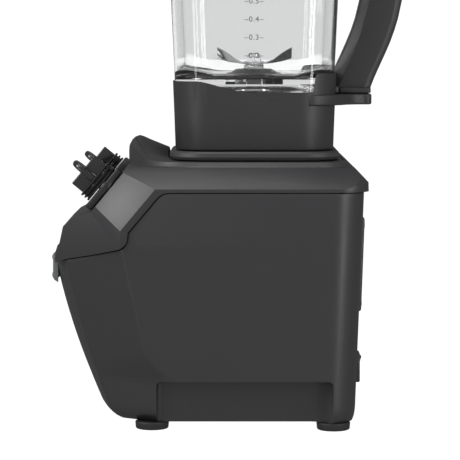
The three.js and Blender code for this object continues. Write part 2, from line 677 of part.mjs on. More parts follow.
bracket = bracket.subtract(turned([[canRadius - 15, 100], [canRadius + gap, 100], [canRadius + gap,
  canTop], [canRadius - 15, canTop]]));
add("motor_bracket", bracket, castMetal);
const bearing = (z) => turned([[motorShaft + gap, z], [bearingRadius, z], [bearingRadius, z + 8],
  [motorShaft + gap, z + 8]], 0, 0, 24);
add("upper_bearing", bearing(canTop - 0.5), steel);
add("lower_bearing", bearing(canBottom - 19), steel);
let cradle = turned([[bearingRadius + gap, canBottom - 20], [canRadius, canBottom - 20], [canRadius,
  canBottom + 7.5],
  [canRadius - 6, canBottom + 7.5], [canRadius - 6, canBottom - 14], [bearingRadius + gap,
    canBottom - 14]]);
for (const side of [-1, 1]) {
  cradle = cradle.subtract(box(-4.3, 4.3, Math.min(side * 30, side * 60), Math.max(side * 30, side * 60),
    canBottom - 6.3, canBottom + 4.3));
}
add("motor_cradle", cradle, blackPlastic);
const fanTop = canBottom - 21;
let fan = turned([[motorShaft + gap, fanTop - 14], [10, fanTop - 14], [10, fanTop - 3], [fanRadius,
  fanTop - 3],
  [fanRadius, fanTop], [motorShaft + gap, fanTop]]);
for (let i = 0; i < 10; i++) {
  const blade = new THREE.BoxGeometry(fanRadius - 12, 1.6, 10);
  blade.translate(9 + (fanRadius - 12) / 2, 0, fanTop - 7.4).rotateZ((i + 0.3) * Math.PI / 5);
  fan = fan.add(solid(blade));
}
add("cooling_fan", fan, blackPlastic);

// -------------------------------------------------------- jar
const jarHalfAt = (z) => jarHalf + jarFlare * (z - jarFloor);
const jarBlank = (inset, z0, z1) => squareBlock([[jarHalfAt(z0) - inset, z0], [jarHalfAt(z1) - inset, z1]],
  jarCorner - inset);
const floorTop = jarFloor + jarFloorThick;
const bossRadius = 19; // the hole in the jar's floor
let jar = jarBlank(0, jarSkirt, jarRim).add(squareBlock([[jarHalfAt(jarRim - 8), jarRim - 8],
  [jarHalfAt(jarRim) + 3, jarRim - 4], [jarHalfAt(jarRim) + 3, jarRim]], jarCorner));
jar = jar.subtract(jarBlank(jarWall, floorTop, jarRim + 10)).subtract(jarBlank(jarWall + 2,
  jarSkirt - 9, jarFloor));
add("jar_vessel", jar.subtract(rod(bossRadius, 200, 240)), clearPlastic);

const collarTopLine = new THREE.Shape();
collarTopLine.moveTo(-80, collarFrontTop);
collarTopLine.lineTo(-36, collarFrontTop);
collarTopLine.bezierCurveTo(-30, collarFrontTop, -20, collarBackTop + 1, -3, collarBackTop);
collarTopLine.lineTo(38, collarBackTop);
collarTopLine.lineTo(40, collarBackTop + 12);
collarTopLine.lineTo(90, collarBackTop + 12);
collarTopLine.lineTo(90, 150);
collarTopLine.lineTo(-80, 150);
let collar = squareBlock([[collarHalf - 0.8, collarBottom], [collarHalf, collarBottom + 1],
  [collarTopHalf, collarFrontTop], [collarTopHalf, 240]], jarCorner);
collar = collar.intersect(sideView(collarTopLine, -90, 90));
const platform = new THREE.Shape();
platform.moveTo(30, -22);
platform.lineTo(platformBack - 4, -19);
platform.quadraticCurveTo(platformBack, -19, platformBack, -15);
platform.lineTo(platformBack, 15);
platform.quadraticCurveTo(platformBack, 19, platformBack - 4, 19);
platform.lineTo(30, 22);
collar = collar.add(plan(platform, platformBottom, platformTop));
const collarInside = squareBlock([[collarHalf - collarWall - 1.5, collarBottom - 2],
  [collarHalf - collarWall - 1.5, jarSkirt - 4]], jarCorner - collarWall);
const jarSeat = jarBlank(-gap, jarSkirt - gap, 250);
const ledgeInside = squareBlock([[collarHalf - 8, jarSkirt - 6], [collarHalf - 8, jarSkirt + 2]],
  jarCorner - 8);
collar = collar.subtract(collarInside).subtract(jarSeat).subtract(ledgeInside);
add("jar_collar", collar, blackPlastic);

const handleShape = new THREE.Shape();
handleShape.moveTo(46, platformTop + gap);
handleShape.lineTo(platformBack - 0.6, platformTop + gap);
handleShape.splineThru([[81, 226.5], [88.5, 242.8], [95, 259.1], [100, 279.5], [106.5, 315], [109.5, 350],
  [108, 380], [100, 401], [85, 411], [66, 414]].map(([x, z]) => new THREE.Vector2(x, z)));
handleShape.lineTo(50, 414);
handleShape.lineTo(50, 392);
handleShape.lineTo(66, 391);
handleShape.splineThru([[77, 387], [82.5, 376], [83, 350], [79, 315], [71.7, 279.5], [66.1, 259.1],
  [59.1, 242.8],
  [54.8, 233]].map(([x, z]) => new THREE.Vector2(x, z)));
handleShape.lineTo(46, 232);
let handle = sideView(handleShape, -handleHalf, handleHalf, 2);
handle = handle.subtract(jarBlank(-gap, 200, 440)).subtract(squareBlock([[collarTopHalf + gap, 150],
  [collarTopHalf + gap, collarBackTop + 12 + gap]], jarCorner));
add("handle", handle, blackPlastic);

// -------------------------------------------------------- blade unit
const retainerTop = floorTop + 3.6;
const bladeRun = bladeShaft + runClear;
let retainer = turned([[bladeRun + 4, 200], [bossRadius - 2, 200], [bossRadius - gap, 202],
  [bossRadius - gap, floorTop + gap],
  [16.1, floorTop + gap + 0.2], [12.5, retainerTop], [bladeRun + 4, retainerTop]]);
add("blade_retainer", retainer, blackPlastic);
add("retainer_ring", turned([[bossRadius + gap, jarFloor - 6], [26, jarFloor - 6], [26, jarFloor - gap],
  [bossRadius + gap, jarFloor - gap]]), blackPlastic);
const sealBottom = retainerTop - 5;
add("blade_bearing", turned([[bladeRun, 202], [bladeRun + 4 - gap, 202], [bladeRun + 4 - gap,
  sealBottom - gap],
  [bladeRun, sealBottom - gap]], 0, 0, 24), steel);
add("blade_seal", turned([[bladeRun, sealBottom], [bladeRun + 4 - gap, sealBottom],
  [bladeRun + 4 - gap, retainerTop - 0.5],
  [bladeRun, retainerTop - 0.5]], 0, 0, 24), rubber);
const knurlTop = retainerTop + 6.4;
const nutTop = knurlTop + 6;
const bladeTop = nutTop + 3;
add("blade_shaft", rod(bladeShaft, 192, bladeTop, 0, 0, 20), steel);
const nutBore = bladeShaft + gap;
add("blade_spacer", turned([[nutBore, retainerTop + 1], [6.8, retainerTop + 1], [6.8, knurlTop],
  [nutBore, knurlTop]]), steel);

/** A two-armed blade: both arms are bent up, each by its own rise. */
function blade(rightRise, leftRise, z, turn) {
  const length = 25.5;
  const thick = 1.4;
  const arm = new THREE.Shape();
  arm.moveTo(0, 0);
  arm.lineTo(9, 0);
  arm.lineTo(length, rightRise);
  arm.lineTo(length, rightRise + thick);
  arm.lineTo(8.5, thick);
  arm.lineTo(-8.5, thick);
  arm.lineTo(-length, thick + leftRise);
  arm.lineTo(-length, leftRise);
  arm.lineTo(-9, 0);
  const sides = sideView(arm, -9, 9).translate(0, 0, z);
  const shape = new THREE.Shape();
  shape.moveTo(length, 1);
  shape.lineTo(6, 8);
  shape.lineTo(-6, 8);
  shape.lineTo(-length, -1);
  shape.lineTo(-6, -8);
  shape.lineTo(6, -8);
  const made = sides.intersect(plan(shape, z - 20, z + 30)).subtract(rod(nutBore, z - 20, z + 30, 0, 0,
    20));
  return made.rotate([0, 0, turn]);
}
const bladeGap = knurlTop + gap;
add("lower_blade", blade(2, 2, bladeGap, 90), steel);
add("upper_blade", blade(9, 9, bladeGap + 1.8, 0), steel);
const nut = rod(6.8, bladeGap + 3.6, nutTop, 0, 0, 6).add(rod(5.2, nutTop - 1, nutTop + 1.4, 0, 0, 20));
add("blade_nut", nut.subtract(rod(nutBore, 200, 260, 0, 0, 20)), steel);
const couplingTop = 199.4;
const splineTop = socketTop + 1.2;
let coupling = rod(13, splineTop, couplingTop, 0, 0, 24);
coupling = coupling.add(rod(socketBore - splineClear, splineBottom + 2, splineTop + 1, 0, 0, 6));
add("jar_coupling", coupling.subtract(rod(nutBore, 192 - gap, 210, 0, 0, 20)), steel);

// -------------------------------------------------------- lid
const lidSkirt = 13;
const rimHalf = jarHalfAt(jarRim) + 3;
const lidIn = jarHalfAt(jarRim - lidSkirt) - jarWall - 2;
const lidBottom = jarRim + gap;
let lid = squareBlock([[rimHalf + 1, lidBottom], [rimHalf + 1, lidTop - 5], [rimHalf - 3, lidTop]],
  jarCorner);
lid = lid.add(squareBlock([[lidIn, jarRim - lidSkirt], [lidIn, lidBottom + 1]], jarCorner - jarWall - 2));
lid = lid.subtract(squareBlock([[lidIn - 3, jarRim - lidSkirt - 2], [lidIn - 3, lidTop - 4]],
  jarCorner - jarWall - 5));
lid = lid.subtract(rod(capRadius + 0.6, jarRim - 28, lidTop + 28));
add("jar_lid", lid, blackPlastic);
const gasketOuter = jarHalfAt(jarRim - 10) - jarWall - gap;
let gasket = squareBlock([[gasketOuter, jarRim - 10], [gasketOuter, jarRim - 6]],
  jarCorner - jarWall - gap);
gasket = gasket.subtract(squareBlock([[lidIn + gap, jarRim - 11], [lidIn + gap, jarRim]],
  jarCorner - jarWall - 2 + gap));
add("lid_gasket", gasket, rubber);
let cap = turned([[0, lidTop - 8], [capRadius, lidTop - 8], [capRadius, lidTop + gap], [capRadius + 3,
  lidTop + gap],
  [capRadius + 3, lidTop + 5], [capRadius - 1, capTop], [0, capTop]]);
cap = cap.subtract(turned([[0, lidTop - 10], [capRadius - 2.6, lidTop - 10], [capRadius - 2.6,
  capTop - 5], [0, capTop - 5]]));
add("filler_cap", cap, clearPlastic);

const bounds = new THREE.Box3().setFromObject(product);
product.position.x = -(bounds.min.x + bounds.max.x) / 2;

export default product;
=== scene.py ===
# %% [markdown]
# # A countertop blender
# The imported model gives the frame: every piece here sits where the frame puts it, in metres.
# The front faces -X, +Z is up, and the user's left hand is at +Y.

# %% Load the frame
import math

import bpy
from mathutils import Matrix, Vector


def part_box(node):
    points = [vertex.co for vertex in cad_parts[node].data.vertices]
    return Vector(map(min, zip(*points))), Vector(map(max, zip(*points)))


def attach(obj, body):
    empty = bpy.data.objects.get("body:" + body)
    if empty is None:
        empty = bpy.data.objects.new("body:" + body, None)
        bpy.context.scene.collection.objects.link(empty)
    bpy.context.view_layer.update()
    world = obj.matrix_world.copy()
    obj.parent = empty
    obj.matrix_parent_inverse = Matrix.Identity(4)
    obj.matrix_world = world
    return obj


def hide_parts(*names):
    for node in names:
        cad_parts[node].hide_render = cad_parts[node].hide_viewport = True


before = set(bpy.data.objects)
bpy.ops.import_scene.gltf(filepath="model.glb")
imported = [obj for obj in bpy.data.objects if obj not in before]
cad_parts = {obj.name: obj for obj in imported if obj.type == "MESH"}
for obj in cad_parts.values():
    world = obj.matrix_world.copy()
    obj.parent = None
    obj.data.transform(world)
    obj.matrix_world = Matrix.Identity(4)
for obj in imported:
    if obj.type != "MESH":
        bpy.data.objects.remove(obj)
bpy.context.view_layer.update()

MM = 0.001

# %% [markdown]
# Everything on the blender stands round one vertical line, the drive axis, where the motor shaft and
# the blades turn. Measuring from that line keeps the numbers short, so `at` turns millimetres from
# the axis into metres in the frame.

# %% Places measured from the drive axis
shaft_low, shaft_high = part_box("motor_shaft")
DRIVE_X = (shaft_low[0] + shaft_high[0]) / 2


def at(x, y, z):
    """A place in millimetres from the drive axis, in metres."""
    return Vector((DRIVE_X + x * MM, y * MM, z * MM))


def span(node):
    """A node's lowest and highest corners, in millimetres from the drive axis."""
    low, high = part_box(node)
    return [((v[0] - DRIVE_X) / MM, v[1] / MM, v[2] / MM) for v in (low, high)]


print("drive axis at x =", round(DRIVE_X, 5))

# %% [markdown]
# The modelling tools act on whatever is selected, so each helper starts from an empty selection.
# `choose` picks one object, and `in_edit` runs a few edit-mode steps on all of its mesh.

# %% Selecting and editing
def clear():
    if bpy.context.object and bpy.context.object.mode != "OBJECT":
        bpy.ops.object.mode_set(mode="OBJECT")
    bpy.ops.object.select_all(action="DESELECT")


def choose(piece):
    clear()
    piece.select_set(True)
    bpy.context.view_layer.objects.active = piece


def in_edit(piece, *steps):
    choose(piece)
    bpy.ops.object.mode_set(mode="EDIT")
    bpy.ops.mesh.select_all(action="SELECT")
    for step in steps:
        step()
    bpy.ops.object.mode_set(mode="OBJECT")


def place_in_mesh(piece):
    """Moves an object's place and turn into its mesh, so that the object sits at the origin."""
    choose(piece)
    bpy.ops.object.transform_apply(location=True, rotation=True, scale=True)
    return piece


def outward():
    bpy.ops.mesh.remove_doubles(threshold=1e-6)
    bpy.ops.mesh.normals_make_consistent(inside=False)


def added(name, data):
    """A new object around its data, put in the scene."""
    piece = bpy.data.objects.new(name, data)
    bpy.context.collection.objects.link(piece)
    return piece


def moved(piece, place, turn):
    """Turns a piece about the foot of the drive axis and carries it to a place."""
    piece.matrix_world = Matrix.Translation(place) @ turn @ Matrix.Translation(at(0, 0, 0)).inverted()
    return place_in_mesh(piece)


def apply(piece, kind, **settings):
    """Adds a modifier with its settings and applies it."""
    choose(piece)
    modifier = piece.modifiers.new(kind.title(), kind)
    for key, value in settings.items():
        setattr(modifier, key, value)
    bpy.ops.object.modifier_apply(modifier=modifier.name)


def smooth(piece, angle=30):
    choose(piece)
    bpy.ops.object.shade_smooth_by_angle(angle=math.radians(angle))
    return piece


def soften(piece, width, segments=3, angle=28, shade=35):
    """Rounds every edge that turns by more than an angle, as a mould does."""
    apply(piece, "BEVEL", width=width * MM, segments=segments, limit_method="ANGLE",
        angle_limit=math.radians(angle), use_clamp_overlap=True, miter_outer="MITER_ARC")
    return smooth(piece, shade)


def dress(piece, finish, body, slot, *nodes):
    """Gives a piece its finish, the body it moves with and the nodes it stands for; the slot argument is not
    used.
    """
    piece.data.materials.clear()
    piece.data.materials.append(finish)
    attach(piece, body)
    if nodes:
        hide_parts(*nodes)
    return piece


def combine(piece, other, operation):
    """Joins one piece with another, or keeps what they share; the other is used up."""
    apply(piece, "BOOLEAN", object=other, operation=operation, solver="EXACT")
    bpy.data.objects.remove(other)
    return piece


def cut(piece, other):
    return combine(piece, other, "DIFFERENCE")


# %% [markdown]
# Most pieces of a blender are stacks: the same outline again and again at different heights, round
# for turned parts and square with round corners for the jar. `stack` adds one filled outline and
# then extrudes and scales it level by level, the way a pot is thrown. A profile that goes up the
# outside and comes down the inside makes a cup in one go.

# %% Stacks
def stack(name, levels, corner=None, sides=72, x=0, y=0, hole=False):
    """levels are [radius or half width, z] from the bottom middle; with hole, they close on themselves."""
    clear()
    size, height = levels[0]
    if corner is None:
        fill = "NOTHING" if hole else "NGON"
        bpy.ops.mesh.primitive_circle_add(vertices=sides, radius=size * MM, fill_type=fill,
            location=at(x, y, height))
    else:
        bpy.ops.mesh.primitive_plane_add(size=2 * size * MM, location=at(x, y, height))
    bpy.ops.object.mode_set(mode="EDIT")
    if corner is not None:
        bpy.ops.mesh.select_all(action="SELECT")
        bpy.ops.mesh.bevel(offset=corner * MM, segments=12, affect="VERTICES")
        bpy.ops.mesh.select_all(action="SELECT")
        if hole:
            bpy.ops.mesh.delete(type="ONLY_FACE")
    bpy.ops.mesh.select_all(action="SELECT")
    for radius, z in levels[1:] + ([levels[0]] if hole else []):
        extrude = bpy.ops.mesh.extrude_edges_move if hole else bpy.ops.mesh.extrude_region_move
        extrude(TRANSFORM_OT_translate={"value": (0, 0, (z - height) * MM)})
        bpy.ops.transform.resize(value=(radius / size, radius / size, 1), center_override=at(x, y, z))
        size, height = radius, z
    bpy.ops.mesh.select_all(action="SELECT")
    outward()
    bpy.ops.object.mode_set(mode="OBJECT")
    piece = bpy.context.object
    piece.name = piece.data.name = name
    return place_in_mesh(piece)


# %% [markdown]
# Flat and bent parts start from an outline drawn in one view and pushed out to a thickness. A side
# view is drawn as (x, z), a plan as (x, y), a front view as (y, z).

# %% Outlines pushed out to a thickness
VIEWS = {
    "side": (lambda a, b, d: (a, d, b), 1),
    "plan": (lambda a, b, d: (a, b, d), 2),
    "front": (lambda a, b, d: (d, a, b), 0),
}


def pushed(name, points, start, end, view="side"):
    place, axis = VIEWS[view]
    mesh = bpy.data.meshes.new(name)
    mesh.from_pydata([at(*place(a, b, start)) for a, b in points], [], [list(range(len(points)))])
    piece = added(name, mesh)
    step = [0, 0, 0]
    step[axis] = (end - start) * MM
    in_edit(piece, lambda: bpy.ops.mesh.extrude_region_move(TRANSFORM_OT_translate={"value": step}),
        lambda: bpy.ops.mesh.select_all(action="SELECT"), outward)
    return piece


def bend(a, b, c, steps):
    """Points on a smooth curve from a to c that heads for b, without its start."""
    points = []
    for step in range(1, steps + 1):
        t = step / steps
        points.append(tuple((1 - t) ** 2 * p + 2 * t * (1 - t) * q + t * t * r for p, q, r in zip(a, b, c)))
    return points


def mirrored(half):
    """A whole plan outline from the half on the -Y side."""
    return half + [(x, -y) for x, y in half[::-1]]


def block(name, low, high):
    """A plain box between two corners, as a cutter or a start."""
    clear()
    middle = [(a + b) / 2 for a, b in zip(low, high)]
    bpy.ops.mesh.primitive_cube_add(size=1, location=at(*middle))
    piece = bpy.context.object
    piece.name = piece.data.name = name
    piece.scale = [(b - a) * MM for a, b in zip(low, high)]
    return place_in_mesh(piece)


def skinned(name, rings):
    """A closed skin over rings of equal length, lowest first."""
    count = len(rings[0])
    mesh = bpy.data.meshes.new(name)
    faces = [list(range(count))[::-1], [(len(rings) - 1) * count + i for i in range(count)]]
    for level in range(len(rings) - 1):
        for i in range(count):
            j = (i + 1) % count
            low, high = level * count, (level + 1) * count
            faces.append([low + i, low + j, high + j, high + i])
    mesh.from_pydata([at(*p) for ring in rings for p in ring], [], faces)
    piece = added(name, mesh)
    in_edit(piece, outward)
    return piece


def from_node(node):
    """A working copy of a frame node, its triangles merged back into flat faces."""
    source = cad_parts[node]
    piece = added(node + "_finish", source.data.copy())
    piece.data.materials.clear()
    in_edit(piece, lambda: bpy.ops.mesh.remove_doubles(threshold=2e-6),
        lambda: bpy.ops.mesh.dissolve_limited(angle_limit=math.radians(1)))
    return piece


# %% [markdown]
# ## Camera and light
# The blender is seen from the user's right, from about 1.6 metres away and a little above the jar's
# foot, looking down by under five degrees. A long lens keeps the sides straight. The light
# is a white studio: a bright room, a soft box to each end, one overhead, and two strips close to
# the side, which brighten its ends.

# %% Camera
VIEW_X, VIEW_Y, VIEW_Z = -16.2, -1632, 255.7
VIEW_DOWN = math.radians(4.613)
LENS_PIXELS = 2416.5
camera_data = bpy.data.cameras.new("camera")
SENSOR_MM, PICTURE_PIXELS = 36, 460
camera_data.sensor_width = SENSOR_MM
camera_data.lens = SENSOR_MM * LENS_PIXELS / PICTURE_PIXELS
camera = added("camera", camera_data)
camera.location = at(VIEW_X, VIEW_Y, VIEW_Z)
camera.rotation_euler = (math.pi / 2 - VIEW_DOWN, 0, 0)
bpy.context.scene.camera = camera
print("camera looks down by", round(math.degrees(VIEW_DOWN), 2), "degrees")


# %% Light and floor
def soft_box(name, place, target, width, height, power):
    data = bpy.data.lights.new(name, "AREA")
    data.shape = "RECTANGLE"
    data.size, data.size_y = width, height
    data.energy = power
    light = added(name, data)
    light.location = place
    light.rotation_euler = (Vector(target) - Vector(place)).to_track_quat("-Z", "Y").to_euler()


soft_box("front_box", (-1.5, -0.6, 1.15), (0, 0, 0.2), 0.7, 0.7, 18)
soft_box("back_box", (1.5, -0.7, 0.7), (0, 0, 0.2), 0.3, 1.2, 3)
soft_box("top_box", (-0.2, -0.2, 1.7), (0, 0, 0.2), 0.9, 0.7, 9)
soft_box("right_strip", (0.62, -0.62, 0.2), (0.06, -0.09, 0.12), 0.12, 0.7, 2.4)
soft_box("left_strip", (-0.80, -0.70, 0.25), (-0.05, -0.09, 0.12), 0.12, 0.7, 1.6)

world = bpy.data.worlds.new("studio")
bpy.context.scene.world = world
world.use_nodes = True
studio = world.node_tree
WHITE = (1, 1, 1, 1)
ROOM_FRONT, ROOM_BEHIND, PAPER, PAPER_THROUGH_JAR = 0.62, 0.12, 1.05, 0.62


def studio_math(operation, *terms):
    """A Math node in the studio; each term is a number or another node's output."""
    node = studio.nodes.new("ShaderNodeMath")
    node.operation = operation
    for socket, term in zip(node.inputs, terms):
        if isinstance(term, float):
            socket.default_value = term
        else:
            studio.links.new(term, socket)
    return node.outputs["Value"]


# The room is darker behind the blender than in front of it, as it is between black flags.
room = studio.nodes["Background"]
facing = studio.nodes.new("ShaderNodeTexCoord")
parts = studio.nodes.new("ShaderNodeSeparateXYZ")
shade = studio.nodes.new("ShaderNodeMapRange")
for key, value in (("From Min", -1), ("From Max", 1), ("To Min", ROOM_FRONT), ("To Max", ROOM_BEHIND)):
    shade.inputs[key].default_value = value
studio.links.new(facing.outputs["Generated"], parts.inputs["Vector"])
studio.links.new(parts.outputs["Y"], shade.inputs["Value"])
studio.links.new(shade.outputs["Result"], room.inputs["Strength"])
# The camera sees white paper instead of the room, and sees it dimmed through the clear jar.
paper = studio.nodes.new("ShaderNodeBackground")
paper.inputs["Strength"].default_value = PAPER
room.inputs["Color"].default_value = paper.inputs["Color"].default_value = WHITE
seen = studio.nodes.new("ShaderNodeLightPath").outputs
unbounced = studio_math("LESS_THAN", studio_math("ADD", seen["Diffuse Depth"], seen["Glossy Depth"]), 1.5)
through_jar = studio_math("MULTIPLY", seen["Is Transmission Ray"], unbounced)
share = studio_math("MAXIMUM", seen["Is Camera Ray"], studio_math("MULTIPLY", through_jar, PAPER_THROUGH_JAR))
either = studio.nodes.new("ShaderNodeMixShader")
studio.links.new(share, either.inputs["Fac"])
studio.links.new(room.outputs["Background"], either.inputs[1])
studio.links.new(paper.outputs["Background"], either.inputs[2])
studio.links.new(either.outputs["Shader"], studio.nodes["World Output"].inputs["Surface"])
bpy.context.scene.view_settings.view_transform = "Standard"

clear()
bpy.ops.mesh.primitive_plane_add(size=30, location=(0, 0, 0))
floor = bpy.context.object
floor.name = "floor"
floor.visible_glossy = floor.visible_diffuse = False

# %% [markdown]
# ## Finishes
# The housing is a charcoal plastic with a fine spark texture from the mould: a tiny bump, a little
# unevenness in its gloss, and a slight random unevenness in its tone. Each finish below is one
# call with its own colour, gloss and grain, measured on Object coordinates so that the grain is
# the same size on every piece.


# %% One maker for moulded and turned finishes
def new_finish(name, color, roughness, metallic=0.0):
    material = bpy.data.materials.new(name)
    material.use_nodes = True
    shader = material.node_tree.nodes["Principled BSDF"]
    shader.inputs["Base Color"].default_value = (*color, 1)
    shader.inputs["Roughness"].default_value = roughness
    shader.inputs["Metallic"].default_value = metallic
    return material, material.node_tree, shader


def noise(tree, scale, detail=2.0, stretch=(1, 1, 1)):
    """Noise on the piece's own coordinates, stretched where the grain runs one way."""
    where = tree.nodes.new("ShaderNodeTexCoord")
    mapping = tree.nodes.new("ShaderNodeMapping")
    mapping.inputs["Scale"].default_value = stretch
    texture = tree.nodes.new("ShaderNodeTexNoise")
    texture.inputs["Scale"].default_value = scale
    texture.inputs["Detail"].default_value = detail
    tree.links.new(where.outputs["Object"], mapping.inputs["Vector"])
    tree.links.new(mapping.outputs["Vector"], texture.inputs["Vector"])
    return texture.outputs["Fac"]


def spread(tree, source, low, high, to_low, to_high):
    """Maps one range of a value onto another."""
    node = tree.nodes.new("ShaderNodeMapRange")
    for key, value in (("From Min", low), ("From Max", high), ("To Min", to_low), ("To Max", to_high)):
        node.inputs[key].default_value = value
    tree.links.new(source, node.inputs["Value"])
    return node.outputs["Result"]


def bumpy(tree, shader, height, depth, strength=1.0):
    bump = tree.nodes.new("ShaderNodeBump")
    bump.inputs["Strength"].default_value = strength
    bump.inputs["Distance"].default_value = depth * MM
    tree.links.new(height, bump.inputs["Height"])
    tree.links.new(bump.outputs["Normal"], shader.inputs["Normal"])


def plastic(name, color, roughness, grain=900, depth=0.04, vary=0.06, blotch=14, coat=0.0):
    material, tree, shader = new_finish(name, color, roughness)
    cloud = noise(tree, blotch, 4)
    tree.links.new(spread(tree, cloud, 0.3, 0.7, roughness - vary / 2, roughness + vary / 2),
        shader.inputs["Roughness"])
    tone = tree.nodes.new("ShaderNodeMix")
    tone.data_type = "RGBA"
    tone.inputs["A"].default_value = (*[c * 0.93 for c in color], 1)
    tone.inputs["B"].default_value = (*[c * 1.07 for c in color], 1)
    tree.links.new(noise(tree, blotch * 2.3, 3), tone.inputs["Factor"])
    tree.links.new(tone.outputs["Result"], shader.inputs["Base Color"])
    bumpy(tree, shader, noise(tree, grain, 2), depth, 0.5)
    shader.inputs["Coat Weight"].default_value = coat
    return material


def metal(name, color, roughness, stretch=(1, 1, 1), grain=300, depth=0.01):
    material, tree, shader = new_finish(name, color, roughness, 1.0)
    streak = noise(tree, grain, 3, stretch)
    tree.links.new(spread(tree, streak, 0.3, 0.7, roughness * 0.75, roughness * 1.3),
        shader.inputs["Roughness"])
    bumpy(tree, shader, streak, depth)
    return material


def glass(name, color, roughness=0.02):
    """A clear moulding whose gloss wavers a little, as thick plastic's does."""
    material, tree, shader = new_finish(name, color, roughness)
    shader.inputs["Transmission Weight"].default_value = 1.0
    shader.inputs["IOR"].default_value = 1.46
    wave = noise(tree, 18, 2)
    tree.links.new(spread(tree, wave, 0.3, 0.7, roughness * 0.5, roughness * 1.8), shader.inputs["Roughness"])
    bumpy(tree, shader, wave, 0.1, 0.25)
    return material


housing_finish = plastic("charcoal_plastic", (0.024, 0.024, 0.026), 0.42)
deck_finish = plastic("deck_plastic", (0.024, 0.024, 0.025), 0.38)
collar_finish = plastic("grained_black_plastic", (0.022, 0.022, 0.023), 0.46, grain=520, depth=0.10)
black_finish = plastic("black_plastic", (0.012, 0.012, 0.013), 0.38)
control_finish = plastic("gloss_black_plastic", (0.008, 0.008, 0.008), 0.22, depth=0.01, vary=0.04, coat=0.3)
pad_finish = plastic("grey_rubber", (0.034, 0.034, 0.035), 0.5, grain=700, depth=0.05)
foot_finish = plastic("black_rubber", (0.014, 0.014, 0.014), 0.6, grain=600, depth=0.06)
lid_finish = plastic("lid_rubber", (0.016, 0.016, 0.016), 0.52, grain=600, depth=0.06)
badge_finish = plastic("silver_plate", (0.15, 0.154, 0.16), 0.35, depth=0.01)
print_finish = plastic("grey_print", (0.05, 0.052, 0.056), 0.5, depth=0.005)
board_finish = plastic("circuit_board", (0.02, 0.10, 0.045), 0.45, blotch=60)
carbon_finish = plastic("pressed_carbon", (0.02, 0.02, 0.021), 0.7, grain=1500)
steel_finish = metal("turned_steel", (0.50, 0.51, 0.52), 0.28, (1, 1, 14))
blade_finish = metal("polished_steel", (0.40, 0.405, 0.41), 0.18, (10, 1, 1), 120)
lamination_finish = metal("stacked_sheets", (0.22, 0.23, 0.24), 0.45, (0.2, 0.2, 60), 30, 0.1)
copper_finish = metal("enamelled_copper", (0.62, 0.27, 0.12), 0.35, (1, 1, 30), 60, 0.1)
cast_finish = metal("cast_aluminium", (0.48, 0.49, 0.50), 0.45, grain=400, depth=0.05)
jar_finish = glass("clear_copolyester", (0.965, 0.97, 0.97))
cap_finish = glass("clear_cap", (0.90, 0.91, 0.91), 0.08)
floor_finish, _, floor_shader = new_finish("floor_paper", (0.12, 0.12, 0.12), 0.8)
floor_shader.inputs["Specular IOR Level"].default_value = 0
floor_shader.inputs["Emission Color"].default_value = WHITE
floor_shader.inputs["Emission Strength"].default_value = 1.0
floor.data.materials.append(floor_finish)

# %% [markdown]
# ## The motor base
# The lower housing is one deep moulding. Seen from above it is a pentagon with soft corners: a bowed
# front panel, two slanting nose panels, two flat sides that lean in towards the foot, and a back with
# large round corners. An outline like that is easy to write for any height, so the housing is skinned
# over many such outlines; the corners are rounded in the outline itself, which keeps the faces clean.

# %% The base's outline at one height
HALF_WIDTH, SIDE_TOP, BACK_X, UPPER_BACK, UNDERSIDE, NOSE_CURL = 95, 155, 70.4, 73.3, 5.3, 17
SIDE_LEAN, BACK_LEAN = 0.046, 0.035


def rounded(corners):
    """An outline with each corner (x, y, radius, steps) drawn as a curve."""
    points = []
    count = len(corners)
    for i, (x, y, radius, steps) in enumerate(corners):
        if radius == 0:
            points.append((x, y))
            continue
        here = Vector((x, y))
        before = Vector(corners[i - 1][:2]) - here
        after = Vector(corners[(i + 1) % count][:2]) - here
        turn = math.pi - before.angle(after)
        reach = min(radius * math.tan(turn / 2), before.length * 0.48, after.length * 0.48)
        start, end = here + before.normalized() * reach, here + after.normalized() * reach
        for s in range(steps + 1):
            t = s / steps
            low = (1 - t) ** 2
            mid = 2 * t * (1 - t) * math.cos(turn / 2)
            high = t ** 2
            total = low + mid + high
            points.append(tuple((start * low + here * mid + end * high) / total))
    return points


def base_outline(z, inset=0.0, soft=1.0):
    low = min(max((NOSE_CURL - z) / (NOSE_CURL - UNDERSIDE), 0), 1)
    nose_tuck = inset + 8 * low ** 4
    tuck = inset + 1.6 * low ** 3
    half = HALF_WIDTH - SIDE_LEAN * max(0, SIDE_TOP - z) - tuck
    back = BACK_X - BACK_LEAN * max(0, SIDE_TOP - z) - tuck
    nose = -107 - 0.4328 * (z - 21.8) + 0.00137 * (z - 21.8) ** 2
    crease = -96.9 - 0.3788 * (z - 18.8) + 0.00098 * (z - 18.8) ** 2
    crease_half = 64 - 0.03 * (z - 18.8) - nose_tuck * 0.5
    bend = max(0, (52 - z) / 17)
    panel = -70.2 - 0.221 * (z - 49.1) + min(9 * bend ** 2, 10) + tuck * 0.6
    side = []
    for step in range(5):
        part = step / 4
        side.append((nose + nose_tuck + (crease - nose) * part ** 2 - 3 * part * low ** 4,
            -crease_half * part, 0 if step < 4 else 5 * soft, 4))
    side.append((panel, -half, (4 + 22 * min(bend, 1)) * soft, 6))
    side.append((back, -half, 20 - inset, 12))
    mirror = [(x, -y, radius, steps) for x, y, radius, steps in side[1:]][::-1]
    return rounded(side + mirror)


